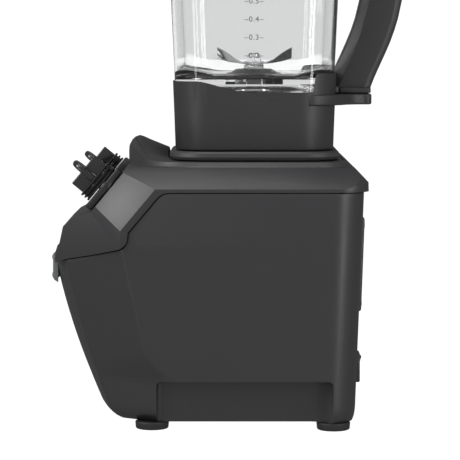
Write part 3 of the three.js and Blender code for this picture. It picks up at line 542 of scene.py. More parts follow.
curl = [UNDERSIDE, 5.6, 6.3, 7.4, 9, 11, 13.5, 15.4, 16.6, 17.2, 17.8]
climb = [20, 24, 28, 31, 34, 37, 40, 43, 46, 49, 53] + [53 + 9 * i for i in range(1, 13)]
base_outside = skinned("lower_housing_shell", [[(x, y, z) for x, y in base_outline(z)] for z in curl + climb])
base_inside = skinned("base_inside", [[(x, y, z) for x, y in base_outline(max(z, UNDERSIDE), 3, 0.6)]
    for z in [1] + curl[2::3] + climb[::3] + [climb[-1]]])
print("outline points:", len(base_outline(60)), "levels:", len(curl + climb))

# %% [markdown]
# The upper housing meets the lower one along a parting line that runs level along the side, turns
# down in front of the flat panel, and runs forward round the nose. One side view of everything above
# that line is the cutter for both housings; the two copies are held 0.7 mm apart, which leaves the
# narrow dark seam.

# %% The parting line
SEAM = 0.7


def above_parting(name, lift):
    front, back, level = (-88.4 - lift, 118.2 + lift), (-62.6 - lift, 151.4 + lift), 155 + lift
    line = [(-150, 101 + lift), (-132.3, 106.1 + lift), (-123.5, 109.6 + lift), (-105, 113.9 + lift), front]
    line += bend(front, (-82 - lift, 120 + lift), (-81.6 - lift, 126), 6)
    line += [(-81.2 - lift, 129.5 + lift), back]
    line += bend(back, (-59.6 - lift, level), (-54.5, level), 5)
    line += [(150, level), (150, 300), (-150, 300)]
    return pushed(name, line[::-1], -150, 150)


# %% Hand recesses, back openings and the lower housing
def hand_recess(side, grow=0.0):
    """The notch along each foot where fingers go to lift the base."""
    rim, depth = 89.4, 76.4 - grow
    plan = [(-63.8 - grow, 115), (-63.8 - grow, depth), (38.9 + grow, depth), (46, depth + 6),
        (51.6 + grow, rim), (51.6 + grow, 115)]
    cutter = pushed("recess", [(x, side * y) for x, y in plan], -5, 32.8 + grow, "plan")
    soften(cutter, 3.5, 4)
    return cutter


for side in (-1, 1):
    cut(base_outside, hand_recess(side))
    cut(base_inside, hand_recess(side, 3))
cut(base_outside, above_parting("line", -SEAM / 2))
lower_housing = cut(base_outside, base_inside)
vent_low, vent_high = span("rear_vent_cover")
for row in range(5):
    z = vent_low[2] + 9 + 9 * row
    cut(lower_housing, block("slot", (66, vent_low[1] + 9, z), (90, vent_high[1] - 9, z + 4.5)))
switch_low, switch_high = span("power_switch_case")
cut(lower_housing, block("switch_hole", (60, switch_low[1] - 0.3, switch_low[2] - 0.3),
    (90, switch_high[1] + 0.3, switch_high[2] + 0.3)))
soften(lower_housing, 0.7, 2, angle=40)
dress(lower_housing, housing_finish, "base", "housing_plastic", "lower_housing")
print("lower housing faces:", len(lower_housing.data.polygons))

# %% [markdown]
# The upper housing is cut rather than drawn. Its side view is pushed out to the full width, kept
# inside a plan with round back corners, and sliced by the flat planes that show on it: two for each
# side of the control slope, one for each shoulder and one for each back corner. The small carrier
# that holds the badge is joined on. Real mouldings have no sharp edge, so every edge is rounded last.


# %% A side view sliced by planes
def sliced(piece, planes):
    """Cuts away what lies in front of each plane (point, normal) and closes the cut."""
    for point, normal in planes:
        in_edit(piece, lambda p=point, n=normal: bpy.ops.mesh.bisect(
            plane_co=at(*p), plane_no=n, use_fill=True, clear_outer=True))
    return piece


def plane_of(a, b, c):
    """A plane through three points, facing away from the middle of the base."""
    normal = (Vector(b) - Vector(a)).cross(Vector(c) - Vector(a)).normalized()
    return (a, normal if normal.y < 0 else -normal)


def both_sides(plane):
    (x, y, z), n = plane
    return [plane, ((x, -y, z), Vector((n.x, -n.y, n.z)))]


def sideways(a, b):
    """A plane seen edge-on from the side, through two points (x, z), facing up and out."""
    dx, dz = b[0] - a[0], b[1] - a[1]
    return ((a[0], 0, a[1]), Vector((-dz, 0, dx)).normalized())


SLOPE_FOOT, SLOPE_TOP = (-106.2, 141.5), (-84.9, 167.3)
SLOPE_ANGLE = math.atan2(SLOPE_TOP[1] - SLOPE_FOOT[1], SLOPE_TOP[0] - SLOPE_FOOT[0])
HOUSING_TOP = 170.3
hood_side = plane_of((-123.5, -61.5, 110), (-87, -95, 118.9), (-101.9, -80, 144.4))
slope_side = plane_of((-101.9, -80, 144.4), (-86, -94.5, 132.4), (-64.1, -95, 157.5))
shoulder = ((0, -95, 157.6), Vector((0, -0.6, 1)).normalized())
upper_line = [(-128, 94), (-131.5, 104), (-125.4, 131), (-121, 135.2), (-112.2, 139.6), SLOPE_FOOT,
    SLOPE_TOP, (-83.6, HOUSING_TOP), (UPPER_BACK - 12, HOUSING_TOP), (UPPER_BACK - 9, 169.7),
    (UPPER_BACK - 7.6, 168.2), (UPPER_BACK - 0.4, 161.2), (UPPER_BACK, 159.8), (UPPER_BACK, 94)]
upper_body = pushed("upper_housing_shell", upper_line, -100, 100)
footprint = rounded([(-160, -95, 0, 0), (UPPER_BACK, -95, 20, 10), (UPPER_BACK, 95, 20, 10),
    (-160, 95, 0, 0)])
combine(upper_body, pushed("footprint", footprint, 80, 200, "plan"), "INTERSECT")
corner_slice = ((UPPER_BACK - 5.9, -89, 159), Vector((1, -1, 0.85)).normalized())
back_edge = sideways((UPPER_BACK - 7.6, 168.4), (UPPER_BACK - 0.4, 161.4))
sliced(upper_body, both_sides(slope_side) + both_sides(hood_side) + both_sides(shoulder)
    + both_sides(corner_slice))
carrier = pushed("carrier", [(-129, 98), (-133.1, 104), (-132.5, 111.8), (-131.2, 116), (-128.6, 119),
    (-124, 121.6), (-118, 98.5)], -38, 38)
sliced(carrier, both_sides(plane_of((-133.1, -34, 104), (-128.6, -31, 119), (-124, -38, 121))))
combine(upper_body, carrier, "UNION")
print("upper housing corners:", len(upper_body.data.vertices))

# %% [markdown]
# In front of the jar the deck sweeps up into a splash ridge, which dies away towards both sides, and
# the shoulders flare up to meet it. The flare is a skin over outlines that shrink quickly at first
# and then slowly, cut off by a side view of the ridge's top line.

# %% The ridge and the deck
DECK_TOP, DECK_HALF, DECK_BACK, DECK_FRONT, RIDGE_HALF = 173.4, 63, 58.5, -79.5, 56


def deck_outline(grow, front=None):
    front = grow if front is None else front
    half, back, corner = DECK_HALF + grow, DECK_BACK + grow, 20
    points = []
    for step in range(9):
        a = -math.pi / 2 + step / 8 * math.pi / 2
        points.append((back - corner + corner * math.cos(a), corner - half + corner * math.sin(a)))
    points = mirrored(points)
    for step in range(33):
        a = math.pi / 2 + step / 32 * math.pi
        points.append((-34 + (-34 - DECK_FRONT + front) * math.cos(a), half * math.sin(a)))
    return points


def ridge_line(name, thin, start=-110, end=110):
    """Everything under the deck's top: a side view whose ridge dies away towards both sides."""
    top = DECK_TOP - thin
    line = [(90, 150), (90, top), (-40, top)] + bend((-40, top), (-49, top), (-57, 180.6 - thin), 8)
    line += [(-70, 185.9 - thin), (-74, 187.8 - thin), (-76.8, 188.7 - thin), (-79.4, 187.9 - thin),
        (-82 + thin, 185.6 - thin), (-83.6 + thin, 182.6 - thin), (-84 + thin, 179 - thin),
        (-83.4 + thin, 150)]
    rings = []
    for step in range(41):
        y = start + (end - start) * step / 40
        swell = math.cos(min(1, abs(y) / RIDGE_HALF) * math.pi / 2) ** 1.6
        rings.append([(x, y, min(z, top) + max(0, z - top) * swell) for x, z in line])
    return skinned(name, rings)


flare = [(150, 22, 5), (161, 19, 5), (165, 14, 5), (168, 10.4, 5), (171, 7.6, 5), (175, 5.4, 5),
    (180, 4.2, 5), (185, 3.4, 5), (195, 2.6, 5)]
rim = skinned("rim", [[(x, y, z) for x, y in deck_outline(grow, front)] for z, grow, front in flare])
combine(rim, ridge_line("ridge", 0), "INTERSECT")
sliced(rim, [back_edge, ((UPPER_BACK, 0, 0), Vector((1, 0, 0)))] + both_sides(corner_slice))
combine(upper_body, rim, "UNION")
combine(upper_body, above_parting("line", SEAM / 2), "INTERSECT")
deck_space = pushed("deck_space", deck_outline(0.4), 150, 205, "plan")
cut(deck_space, ridge_line("floor", 2.7))
cut(upper_body, deck_space)
PAD_HALF, PAD_CORNER = 56.4, 25
pad_seat = stack("pad_seat", [[PAD_HALF + 0.8, DECK_TOP], [PAD_HALF + 0.8, 205]], corner=PAD_CORNER)
cut(upper_body, pad_seat)
cut(upper_body, block("centre", (-38, -38, 150), (38, 38, 200)))
in_edit(upper_body, lambda: bpy.ops.mesh.dissolve_limited(angle_limit=math.radians(0.5)))
soften(upper_body, 1.4, 3, angle=24)
dress(upper_body, housing_finish, "base", "housing_plastic", "upper_housing")
print("upper housing faces:", len(upper_body.data.polygons))

# %% [markdown]
# Behind the parting line a tongue joins the two mouldings, so that no light shows through the seam.

# %% The tongue behind the seam
tongue_line = [(-84, 121), (-81, 125), (-80.4, 130), (-62, 151.4), (-58, 155), (-54, 155.2), (52, 155.2)]
for side in (-1, 1):
    low_edge = [(x + 3, z - 3) for x, z in tongue_line]
    tongue = pushed(f"seam_tongue_{side}", [(x - 1.6, z + 2.6) for x, z in tongue_line] + low_edge[::-1],
        side * 88.2, side * 90.6)
    soften(tongue, 0.3, 2)
    dress(tongue, housing_finish, "base", "housing_plastic")
print("tongues: 2")

# %% [markdown]
# The deck is a thin plate that lies inside the rim and follows the same side view up to the ridge. It is
# pushed out from its plan, trimmed to the side view above and below, and opened for the rubber pad.

# %% Deck plate
deck = pushed("top_deck_plate", deck_outline(0), 150, 205, "plan")
combine(deck, ridge_line("over", 0.2), "INTERSECT")
cut(deck, ridge_line("under", 2.4, -130, 130))
cut(deck, stack("pad_seat", [[PAD_HALF + 0.8, DECK_TOP - 0.2], [PAD_HALF + 0.8, 205]], corner=PAD_CORNER))
cut(deck, block("centre", (-41, -41, 150), (41, 41, 200)))
in_edit(deck, lambda: bpy.ops.mesh.dissolve_limited(angle_limit=math.radians(0.5)))
soften(deck, 0.8, 2, angle=35)
dress(deck, deck_finish, "base", "deck_plastic", "top_deck")
print("deck faces:", len(deck.data.polygons))

# %% [markdown]
# ## Underside, feet, badge and back
# The base plate closes the bottom just inside the housing's curl. It has air slots and screws. The
# feet are turned rubber pucks, dished a little underneath. The badge is a silver plate with a sunk field,
# which is left blank. On the back are the louvred vent cover, the rocker switch in its case, and the gland.

# %% Screws and notches
DOWNWARD, BACKWARD = Matrix.Rotation(math.pi, 4, "X"), Matrix.Rotation(math.pi / 2, 4, "Y")


def screw(name, x, y, z, turn):
    """A round screw head with a cross in it."""
    radius = 2.6
    head = stack(name, [[radius, 0], [radius, 0.9], [radius * 0.7, 1.6]], sides=24)
    for w, d in ((0.5, 3.0), (3.0, 0.5)):
        cut(head, block("cross", (-w / 2 - 0.2, -d / 2, 0.9), (w / 2 + 0.2, d / 2, 3)))
    return dress(smooth(moved(head, at(x, y, z), turn), 30), steel_finish, "base", "steel")


def notched(piece, count, reach, radius, low, high, sides):
    """Cuts a ring of round notches into a turned piece."""
    for step in range(count):
        angle = step * math.pi / (count / 2)
        cut(piece, stack("notch", [[radius, low - 1], [radius, high + 1]], sides=sides,
            x=reach * math.cos(angle), y=reach * math.sin(angle)))


# %% Base plate and feet
plate = pushed("base_plate_moulding", base_outline(UNDERSIDE, 3.3), UNDERSIDE, UNDERSIDE + 3, "plan")
for side in (-1, 1):
    cut(plate, hand_recess(side, 3.3))
for row in range(-3, 4):
    cut(plate, block("slot", (-30, row * 9 - 2, 0), (30, row * 9 + 2, 20)))
soften(plate, 0.6, 2, angle=40)
dress(plate, housing_finish, "base", "housing_plastic", "base_plate")
for number, (x, y) in enumerate(((-40, 55), (-40, -55), (44, 52), (44, -52))):
    screw(f"plate_screw_{number}", x, y, UNDERSIDE, DOWNWARD)
for node in ("foot_front_left", "foot_front_right", "foot_rear_left", "foot_rear_right"):
    low, high = span(node)
    x, y, r = (low[0] + high[0]) / 2, (low[1] + high[1]) / 2, (high[0] - low[0]) / 2
    foot = stack(node + "_rubber", [[r - 5, 0.8], [r - 4.6, 0], [r - 1.6, 0], [r - 0.7, 0.35],
        [r - 0.3, 1.0], [r, 4.4], [r - 0.3, 5]], x=x, y=y)
    dress(smooth(foot), foot_finish, "base", "foot_rubber", node)

# %% Badge
def bowed(name, line, half):
    """A side view pushed out across the nose and bent back at both ends to follow it."""
    rings = []
    for step in range(-8, 9):
        y = half * step / 8
        rings.append([(x + 2.2 * (y / 26) ** 2, y, z) for x, z in line])
    return skinned(name, rings)


badge = bowed("badge_plate", [(-136.4, 94.2), (-135.6, 92.6), (-133, 91), (-133, 108.4), (-135.8, 108.4),
    (-136.4, 107.2)], 26)
cut(badge, bowed("field", [(-140, 95.6), (-140, 106), (-135.9, 106), (-135.9, 95.6)], 23.5))
soften(badge, 0.6, 3)
dress(badge, badge_finish, "base", "badge_face", "front_badge")

# %% Vent cover
low, high = span("rear_vent_cover")
back_low = BACK_X - BACK_LEAN * (SIDE_TOP - low[2])
back_high = BACK_X - BACK_LEAN * (SIDE_TOP - high[2])
cover = pushed("vent_cover_moulding", [(back_low + 0.3, low[2]), (back_low + 3.4, low[2]),
    (back_high + 3.4, high[2]), (back_high + 0.3, high[2])], low[1], high[1])
soften(cover, 1.6, 3)
for row in range(5):
    z = low[2] + 9.5 + 9 * row
    cut(cover, block("slot", (60, low[1] + 10, z), (90, high[1] - 10, z + 3.5)))
soften(cover, 0.5, 2, angle=50)
dress(cover, housing_finish, "base", "housing_plastic", "rear_vent_cover")
for number, (y, z) in enumerate(((-33, 78), (33, 78), (-33, 130), (33, 130))):
    screw(f"vent_screw_{number}", back_low + 2.1 + (z - low[2]) * BACK_LEAN, y, z, BACKWARD)

# %% Switch and gland
low, high = span("power_switch_case")
case = block("switch_case", low, high)
soften(case, 1.0, 3)
cut(case, block("mouth", (high[0] - 10.2, low[1] + 1.5, low[2] + 1.5), (90, high[1] - 1.5, high[2] - 1.5)))
dress(smooth(case), black_finish, "base", "black_plastic", "power_switch_case")
low, high = span("power_rocker")
middle, reach, face = (low[2] + high[2]) / 2, (high[2] - low[2]) / 2, high[0] - 2.3
rocker = pushed("rocker_key", [(face - 5, middle - 3.5), (face - 1, middle - reach + 0.8),
    (face - 0.2, middle - reach), (face + 0.2, middle - 1), (face + 0.9, middle + 2.6),
    (face + 2.3, middle + reach), (face - 1, middle + reach - 0.8), (face - 5, middle + 3.5)], low[1],
    high[1])
soften(rocker, 0.5, 3)
dress(rocker, control_finish, "rocker", "control_plastic", "power_rocker")
low, high = span("cord_gland")
gland = stack("gland_moulding", [[7, -8], [7, 0.6], [10, 0.6], [10, 1.6], [9.4, 2.6], [8, 3.1], [5.4, 3.3],
    [4.6, 2.9], [3.6, 2.4], [3.4, 0.5], [1, 0.4]])
moved(gland, at(high[0] - 3.3, (low[1] + high[1]) / 2, (low[2] + high[2]) / 2), BACKWARD)
dress(smooth(gland), black_finish, "base", "black_plastic", "cord_gland")

# %% [markdown]
# ## Controls
# The control face is tilted, so its pieces are modelled lying flat round the drive axis, with x up the slope,
# y across and z out of it, and then turned onto the slope in one move.

# %% Bezel
DIAL_Y, DIAL_UP = 64, 17.6
slope_place = (SLOPE_FOOT[0] + DIAL_UP * math.cos(SLOPE_ANGLE), SLOPE_FOOT[1]
    + DIAL_UP * math.sin(SLOPE_ANGLE))


def onto_slope(piece, y=0.0):
    return moved(piece, at(slope_place[0], y, slope_place[1]), Matrix.Rotation(-SLOPE_ANGLE, 4, "Y"))


bezel = pushed("bezel_moulding", mirrored([(-17, 73.1), (2.9, 78.6), (15.3, 71.3)]), 0.3, 5.5, "plan")
soften(bezel, 1.3, 4)
for y in (-DIAL_Y, DIAL_Y):
    cut(bezel, stack("hole", [[4.5, -9], [4.5, 9]], y=y, sides=32))
    cut(bezel, stack("dish", [[15.4, 5.0], [15.4, 9]], y=y, sides=64))
    for step in range(7):
        angle = math.radians(-135 + 45 * step)
        x, across = 15.9 * math.cos(angle), y + 17.6 * math.sin(angle)
        if -16 < x < 14.4:
            cut(bezel, stack("dot", [[0.5, 5.2], [0.5, 9]], x=x, y=across, sides=12))
cut(bezel, block("opening", (-9.5, -12, -9), (9.5, 12, 12)))
smooth(bezel)
dress(onto_slope(bezel), black_finish, "base", "black_plastic", "control_bezel")
print("bezel faces:", len(bezel.data.polygons))

# %% [markdown]
# A dial is a ribbed skirt, a cross wing up the slope, and a thick finger grip across it with a round top.

# %% Dials and paddle
for side, y in (("left", DIAL_Y), ("right", -DIAL_Y)):
    skirt = stack("dial_" + side + "_knob", [[12.8, 5.8], [13.4, 6.0], [13.7, 6.4], [13.7, 7.0],
        [12.3, 7.5], [12.1, 8.0], [13.5, 8.6], [13.7, 8.9], [13.7, 9.4], [12.3, 9.9], [12.1, 10.5],
        [13.5, 11.1], [13.7, 11.4], [13.7, 11.9], [13.2, 12.3], [11, 12.4]])
    wing = block("wing", (-11.7, -1.6, 11), (11.7, 1.6, 21.5))
    soften(wing, 0.7, 3)
    combine(skirt, wing, "UNION")
    grip = [(-11.7, 11.5), (11.7, 11.5), (11.4, 20)]
    for step in range(1, 12):
        a = math.pi * step / 12
        grip.append((11.1 * math.cos(a), 20.4 + 9 * math.sin(a) ** 0.7))
    grip.append((-11.4, 20))
    fin = pushed("grip", grip, -1.95, 1.95, "front")
    soften(fin, 1.6, 4)
    combine(skirt, fin, "UNION")
    cut(skirt, stack("bore", [[3.3, 0], [3.3, 16.3]], sides=32))
    smooth(skirt, 32)
    dress(onto_slope(skirt, y), control_finish, side + "_dial", "control_plastic", "dial_" + side)
    post = stack("encoder_" + side + "_post", [[3, -5.5], [3, 15.4], [2.5, 16]], sides=40)
    body = block("body", (-6.5, -6.5, -13.7), (6.5, 6.5, -5))
    soften(body, 0.5, 2)
    combine(post, body, "UNION")
    dress(onto_slope(smooth(post), y), steel_finish, "base", "steel", "encoder_" + side)
paddle = pushed("paddle_key", [(-8.5, 7), (-8.5, 9), (-2, 7.2), (2, 7.2), (8.5, 9), (8.5, 7), (5, 1),
    (-5, 1)], -11, 11)
soften(paddle, 0.8, 3)
cut(paddle, block("line", (-0.5, -8, 6.7), (0.5, 8, 9)))
dress(onto_slope(paddle), control_finish, "paddle", "control_plastic", "pulse_paddle")

# %% [markdown]
# ## Jar seat
# A rubber pad sits in the deck and rises inside the collar, so that the jar is held square. In its
# middle stands the six-sided drive socket, and a small pin beside it is pressed down by the jar.

# %% Pad, pin and socket
low, high = span("jar_pad")
pad = stack("pad_rubber", [[37.7, low[2]], [37.7, 173.6], [54.8, 173.7], [55.8, 174.3], [56.4, 176],
    [56.0, 178.4], [54.9, 179.5], [46.5, 179.7], [45.4, 180.2], [44.8, 181.4], [44.2, 188.6], [43.4, 190.1],
    [42, 190.7], [36.2, 190.7], [35.2, 190.2], [35, 187.3], [34, 186.9], [20, 186.7]], corner=17)
cut(pad, stack("well", [[18, 150], [18, 210]]))
cut(pad, stack("pin_hole", [[3, 150], [3, 210]], x=20, y=24, sides=32))
smooth(pad, 25)
dress(pad, pad_finish, "base", "pad_rubber", "jar_pad")
low, high = span("jar_sensor_pin")
pin = stack("sensor_pin_moulding", [[2.5, low[2]], [2.5, high[2] - 1.2], [2.2, high[2] - 0.5],
    [1.4, high[2]]], x=20, y=24, sides=32)
dress(smooth(pin), black_finish, "sensor_pin", "black_plastic", "jar_sensor_pin")
low, high = span("drive_socket")
socket = stack("socket_turning", [[9, low[2]], [9.6, low[2]], [15, low[2] + 7.6], [15, high[2] - 0.9],
    [14.1, high[2]]], sides=64)
cut(socket, stack("bore", [[5.3, 100], [5.3, 176.3]], sides=48))
cut(socket, stack("hex", [[9.5, 176.3], [9.5, 210]], sides=6))
dress(smooth(socket), steel_finish, "motor", "steel", "drive_socket")
print("jar seat done")

# %% [markdown]
# ## The jar
# The jar is a square cup with big round corners whose sides lean out slightly. Its outline is stacked up the
# outside, over the rim and down the inside to a dished floor. The floor has a round hole for the
# blade unit, and the skirt below it is open.

# %% Jar body
def jar_half(z):
    return 52.6 + 0.0455 * (z - 222)


JAR_CORNER = 24
outside = [[jar_half(z), z] for z in (208, 215, 240, 300, 360, 418)]
outside[0][0] -= 0.5
outside.insert(1, [jar_half(208.6), 208.6])
over = [[63.2, 421], [64.7, 423.2], [65.0, 424.6], [65.0, 427.2], [64.4, 428], [59.9, 428]]
down = [[jar_half(z) - 2.6, z] for z in (427, 360, 300, 250, 240)]
dish = [[50.5, 228.6], [50.2, 227.7], [49.2, 227.1], [45, 226.8], [36, 226.7], [26, 226.6], [15, 226.6]]
jar = stack("jar_moulding", outside + over + down + dish, corner=JAR_CORNER)
for vertex in jar.data.vertices:  # the floor sweeps up into the four corners
    reach = math.hypot(vertex.co.x - DRIVE_X, vertex.co.y) / MM - 50
    if 0 < reach < 13 and 0.2264 < vertex.co.z < 0.2290:
        vertex.co.z += 0.042 * reach ** 2 * MM
under = [[49.0, 200], [49.0, 220.6], [48.2, 222.4], [46, 223.6], [36, 223.2], [24, 222.4], [16, 222]]
cut(jar, stack("skirt_space", under, corner=22))
cut(jar, stack("boss_hole", [[19, 200], [19, 240]], sides=72))
smooth(jar, 28)
dress(jar, jar_finish, "jar", "clear_plastic", "jar_vessel")
print("jar faces:", len(jar.data.polygons))

# %% [markdown]
# The litre marks are printed on the wall that faces the camera, in tenths, each with a dash on
# both sides.

# %% Litre marks
marks = []
for tenth in range(2, 17):
    z = 242.2 + 11.75 * (tenth - 2) - 0.12 * max(0, tenth - 5) ** 1.5
    clear()
    bpy.ops.object.text_add(location=at(-0.6, -jar_half(z) - 0.12, z - 1.35), rotation=(math.pi / 2, 0, 0))
    mark = bpy.context.object
    mark.data.body = f"\u2013{tenth / 10:.1f}\u2013"
    mark.data.size = 5.0 * MM
    mark.data.space_character = 1.12
    mark.data.align_x = "CENTER"
    mark.data.resolution_u = 3
    bpy.ops.object.convert(target="MESH")
    marks.append(place_in_mesh(bpy.context.object))
clear()
for mark in marks:
    mark.select_set(True)
bpy.context.view_layer.objects.active = marks[0]
bpy.ops.object.join()
scale = bpy.context.object
scale.name = scale.data.name = "litre_marks"
dress(scale, print_finish, "jar", "badge_face")
print("litre marks:", len(marks))

# %% [markdown]
# ## Collar and handle
# The collar is a square sleeve with grained sides. Its top line, drawn as a side view, is high at the front,
# dips in a soft curve, and steps up again behind the jar. A slab at the back carries the handle.

# %% Collar
line = [(-80, 225.5), (-38, 225.5)]
for step in range(1, 11):
    t = step / 10
    line.append(tuple((1 - t) ** 3 * a + 3 * t * (1 - t) ** 2 * b + 3 * t * t * (1 - t) * c + t ** 3 * d
        for a, b, c, d in ((-38, -29, -17, -3), (225.5, 225.2, 218.6, 218.3))))
line += [(37.5, 218.3), (38.3, 218.9), (39.8, 229.2), (41.2, 230.6), (90, 230.6), (90, 150), (-80, 150)]
collar = stack("collar_moulding", [[51.4, 180.3], [52.0, 180.7], [52.4, 181.8], [53.2, 205], [54, 225.5],
    [54.2, 236]], corner=JAR_CORNER)
combine(collar, pushed("top_line", line, -90, 90), "INTERSECT")
slab_line = mirrored([(28, -40), (36, -53.6), (42, -52.4), (50, -46), (57, -36), (63, -24), (68, -19.6),
    (76, -18.6), (78.1, -16.6)])
slab = pushed("slab", slab_line[-1:] + slab_line[:-1], 209.5, 216.7, "plan")
soften(slab, 1.1, 3, angle=50)
combine(collar, slab, "UNION")
cut(collar, stack("jar_seat", [[jar_half(207.7) + 0.3, 207.7], [jar_half(240) + 0.3, 240]],
    corner=JAR_CORNER))
cut(collar, stack("ledge", [[44.3, 202], [44.3, 209]], corner=16))
cut(collar, stack("hollow", [[47.8, 178], [47.8, 204]], corner=21))
soften(collar, 0.5, 2, angle=50)
dress(collar, collar_finish, "jar", "collar_plastic", "jar_collar")
print("collar faces:", len(collar.data.polygons))

# %% [markdown]
# The handle is skinned over cross-sections along its path. Each one is given by its inner edge, the
# crease along its side, and its outer edge: the band inside the crease is chamfered, and the
# outer edge is rounded.

# %% Handle
stations = [
    ((47.5, 217.1), (56.5, 217.1), (77.4, 217.1)), ((47.5, 226), (56.6, 221.4), (78.3, 221.4)),
    ((49, 230.4), (59.2, 227.4), (80.4, 226.9)), ((54.8, 234.8), (62.6, 235.4), (83.9, 234.8)),
    ((58.5, 242.9), (66.0, 243.2), (87.6, 242.9)), ((62.1, 251), (69.4, 251.2), (91.1, 251)),
    ((65.4, 259.1), (72.3, 259.2), (94, 259.1)), ((68.1, 267.2), (74.8, 267.2), (96.4, 267.2)),
    ((71, 279.3), (77.2, 279.3), (98.95, 279.3)), ((75.6, 297), (81.6, 297), (103.2, 297)),
    ((79, 315), (85, 315), (106.5, 315)), ((82, 333), (88, 333), (108.7, 333)),
    ((83, 350), (89, 350), (109.4, 350)), ((82.9, 366), (89, 368), (109.1, 370)),
    ((81.5, 379), (87.4, 383), (105, 391)), ((77, 386.5), (81, 393), (95, 404.5)),
    ((71, 389.6), (73, 397.4), (81, 411.4)), ((66, 391), (66.6, 398.6), (68, 413.8)),
    ((61.6, 392), (61.6, 399.6), (61.6, 414)),
]
rings = []
for inner, crease, outer in stations:
    inner, crease, outer = Vector(inner), Vector(crease), Vector(outer)
    out = (outer - crease).normalized()
    side = [(inner, 0), (inner, 7.6), (inner + (crease - inner) * 0.15, 8.6), (crease, 13),
        (outer - out * 4.4, 13), (outer - out * 1.3, 11.7), (outer, 8.6), (outer, 0)]
    loop = side + [(p, -y) for p, y in side[-2:0:-1]]
    rings.append([(p.x, y, p.y) for p, y in loop])
handle = skinned("handle_moulding", rings)
apply(handle, "BEVEL", width=0.35 * MM, segments=2, limit_method="ANGLE", angle_limit=math.radians(22),
    use_clamp_overlap=True)
smooth(handle, 24)
dress(handle, collar_finish, "jar", "collar_plastic", "handle")
for name, half, start, end in (
    ("handle_foot", [(56.9, -18.8), (76.2, -18.2), (77.8, -16.4)], 217.15, 220.6),
    ("handle_front", [(46, -20), (56.3, -18.8)], 217.15, 221.5),
    ("handle_lower", [(57.1, -19.3), (75.9, -18.9), (78.3, -16.9)], 209.9, 216.4),
):
    moulding = pushed(name, mirrored(half), start, end, "plan")
    soften(moulding, 0.6, 3)
    dress(moulding, collar_finish, "jar", "collar_plastic")
print("handle faces:", len(handle.data.polygons))

# %% [markdown]
# ## Blade unit
# A low black cone is clamped in the jar's floor. Above it stand a knurled spacer, two crossed
# blades, a hexagon nut and a round cap. A blade is skinned over flat cross-sections from tip to tip:
# each one has a height, a width and a pitch.

# %% Blades
def strip(name, sections, thick, angle, z):
    rings = []
    for x, height, width, pitch in sections:
        c, s = math.cos(math.radians(pitch)), math.sin(math.radians(pitch))
        edge = 0.35 if abs(x) > 9 else 1.0
        flat = [(-width / 2, -thick * edge / 2), (width / 2 - 2, -thick / 2), (width / 2, 0),
            (width / 2 - 2, thick / 2), (-width / 2, thick * edge / 2)]
        rings.append([(x, a * c - b * s, z + height + a * s + b * c) for a, b in flat])
    piece = skinned(name, rings)
    soften(piece, 0.15, 2)
    cut(piece, stack("hole", [[4.3, 200], [4.3, 270]], sides=40))
    return smooth(moved(piece, at(0, 0, 0), Matrix.Rotation(math.radians(angle), 4, "Z")), 30)


raised = [(-24.9, 7.8, 9.5, 50), (-21, 6.2, 10.5, 42), (-16.5, 4.0, 12, 28), (-12, 1.8, 13, 12),
    (-8, 0.3, 13, 0), (0, 0, 13, 0), (8, 0.3, 13, 0), (13, 1.7, 13, -14), (18, 4.0, 12, -30),
    (22, 6.0, 10.5, -42), (25.4, 7.6, 9.5, -50)]
upper = strip("upper_blade_pressing", raised, 1.5, 0, 236.3)
dress(upper, blade_finish, "blades", "blade_steel", "upper_blade")
flat_arms = [(-24, -1.6, 10, 4), (-18, -1.0, 12, 4), (-12, -0.3, 13, 2), (-7, 0, 13, 0), (0, 0, 13, 0),
    (7, 0, 13, 0), (12, -0.3, 13, -2), (18, -1.0, 12, -4), (24, -1.6, 10, -4)]
lower = strip("lower_blade_pressing", flat_arms, 1.4, 90, 234.4)
dress(lower, blade_finish, "blades", "blade_steel", "lower_blade")

# %% Hub, spacer, nut and shaft
hub = stack("hub_moulding", [[8.4, 204], [17.4, 204], [18.6, 206], [18.6, 227.2], [18.4, 227.7],
    [16.2, 228], [15.6, 228.6], [12.8, 230.8], [12.2, 231.2], [8.4, 231.3]], sides=96)
cut(hub, stack("bore", [[8.4, 200], [8.4, 240]]))
dress(smooth(hub, 25), black_finish, "jar", "black_plastic", "blade_retainer")
low, high = span("retainer_ring")
ring = stack("ring_nut_moulding", [[19.3, low[2]], [25.4, low[2]], [26, low[2] + 0.6], [26, high[2] - 0.6],
    [25.4, high[2]], [19.3, high[2]]], hole=True)
notched(ring, 8, 26.4, 1.7, low[2], high[2], 16)
dress(smooth(ring), black_finish, "jar", "black_plastic", "retainer_ring")


def knurled(name, low, high):
    """A ring with a row of grooves across its rim, for a tool to grip."""
    ring = stack(name, [[4.3, low], [6.4, low], [6.9, low + 0.3], [6.9, high - 0.3], [6.4, high],
        [4.3, high]], hole=True, sides=72)
    grooves = []
    for step in range(18):
        angle = step * math.pi / 9
        grooves.append(stack("groove", [[0.55, low - 1], [0.55, high + 1]], sides=8,
            x=7.1 * math.cos(angle), y=7.1 * math.sin(angle)))
    choose(grooves[0])
    for groove in grooves[1:]:
        groove.select_set(True)
    bpy.ops.object.join()
    return smooth(cut(ring, bpy.context.object), 30)


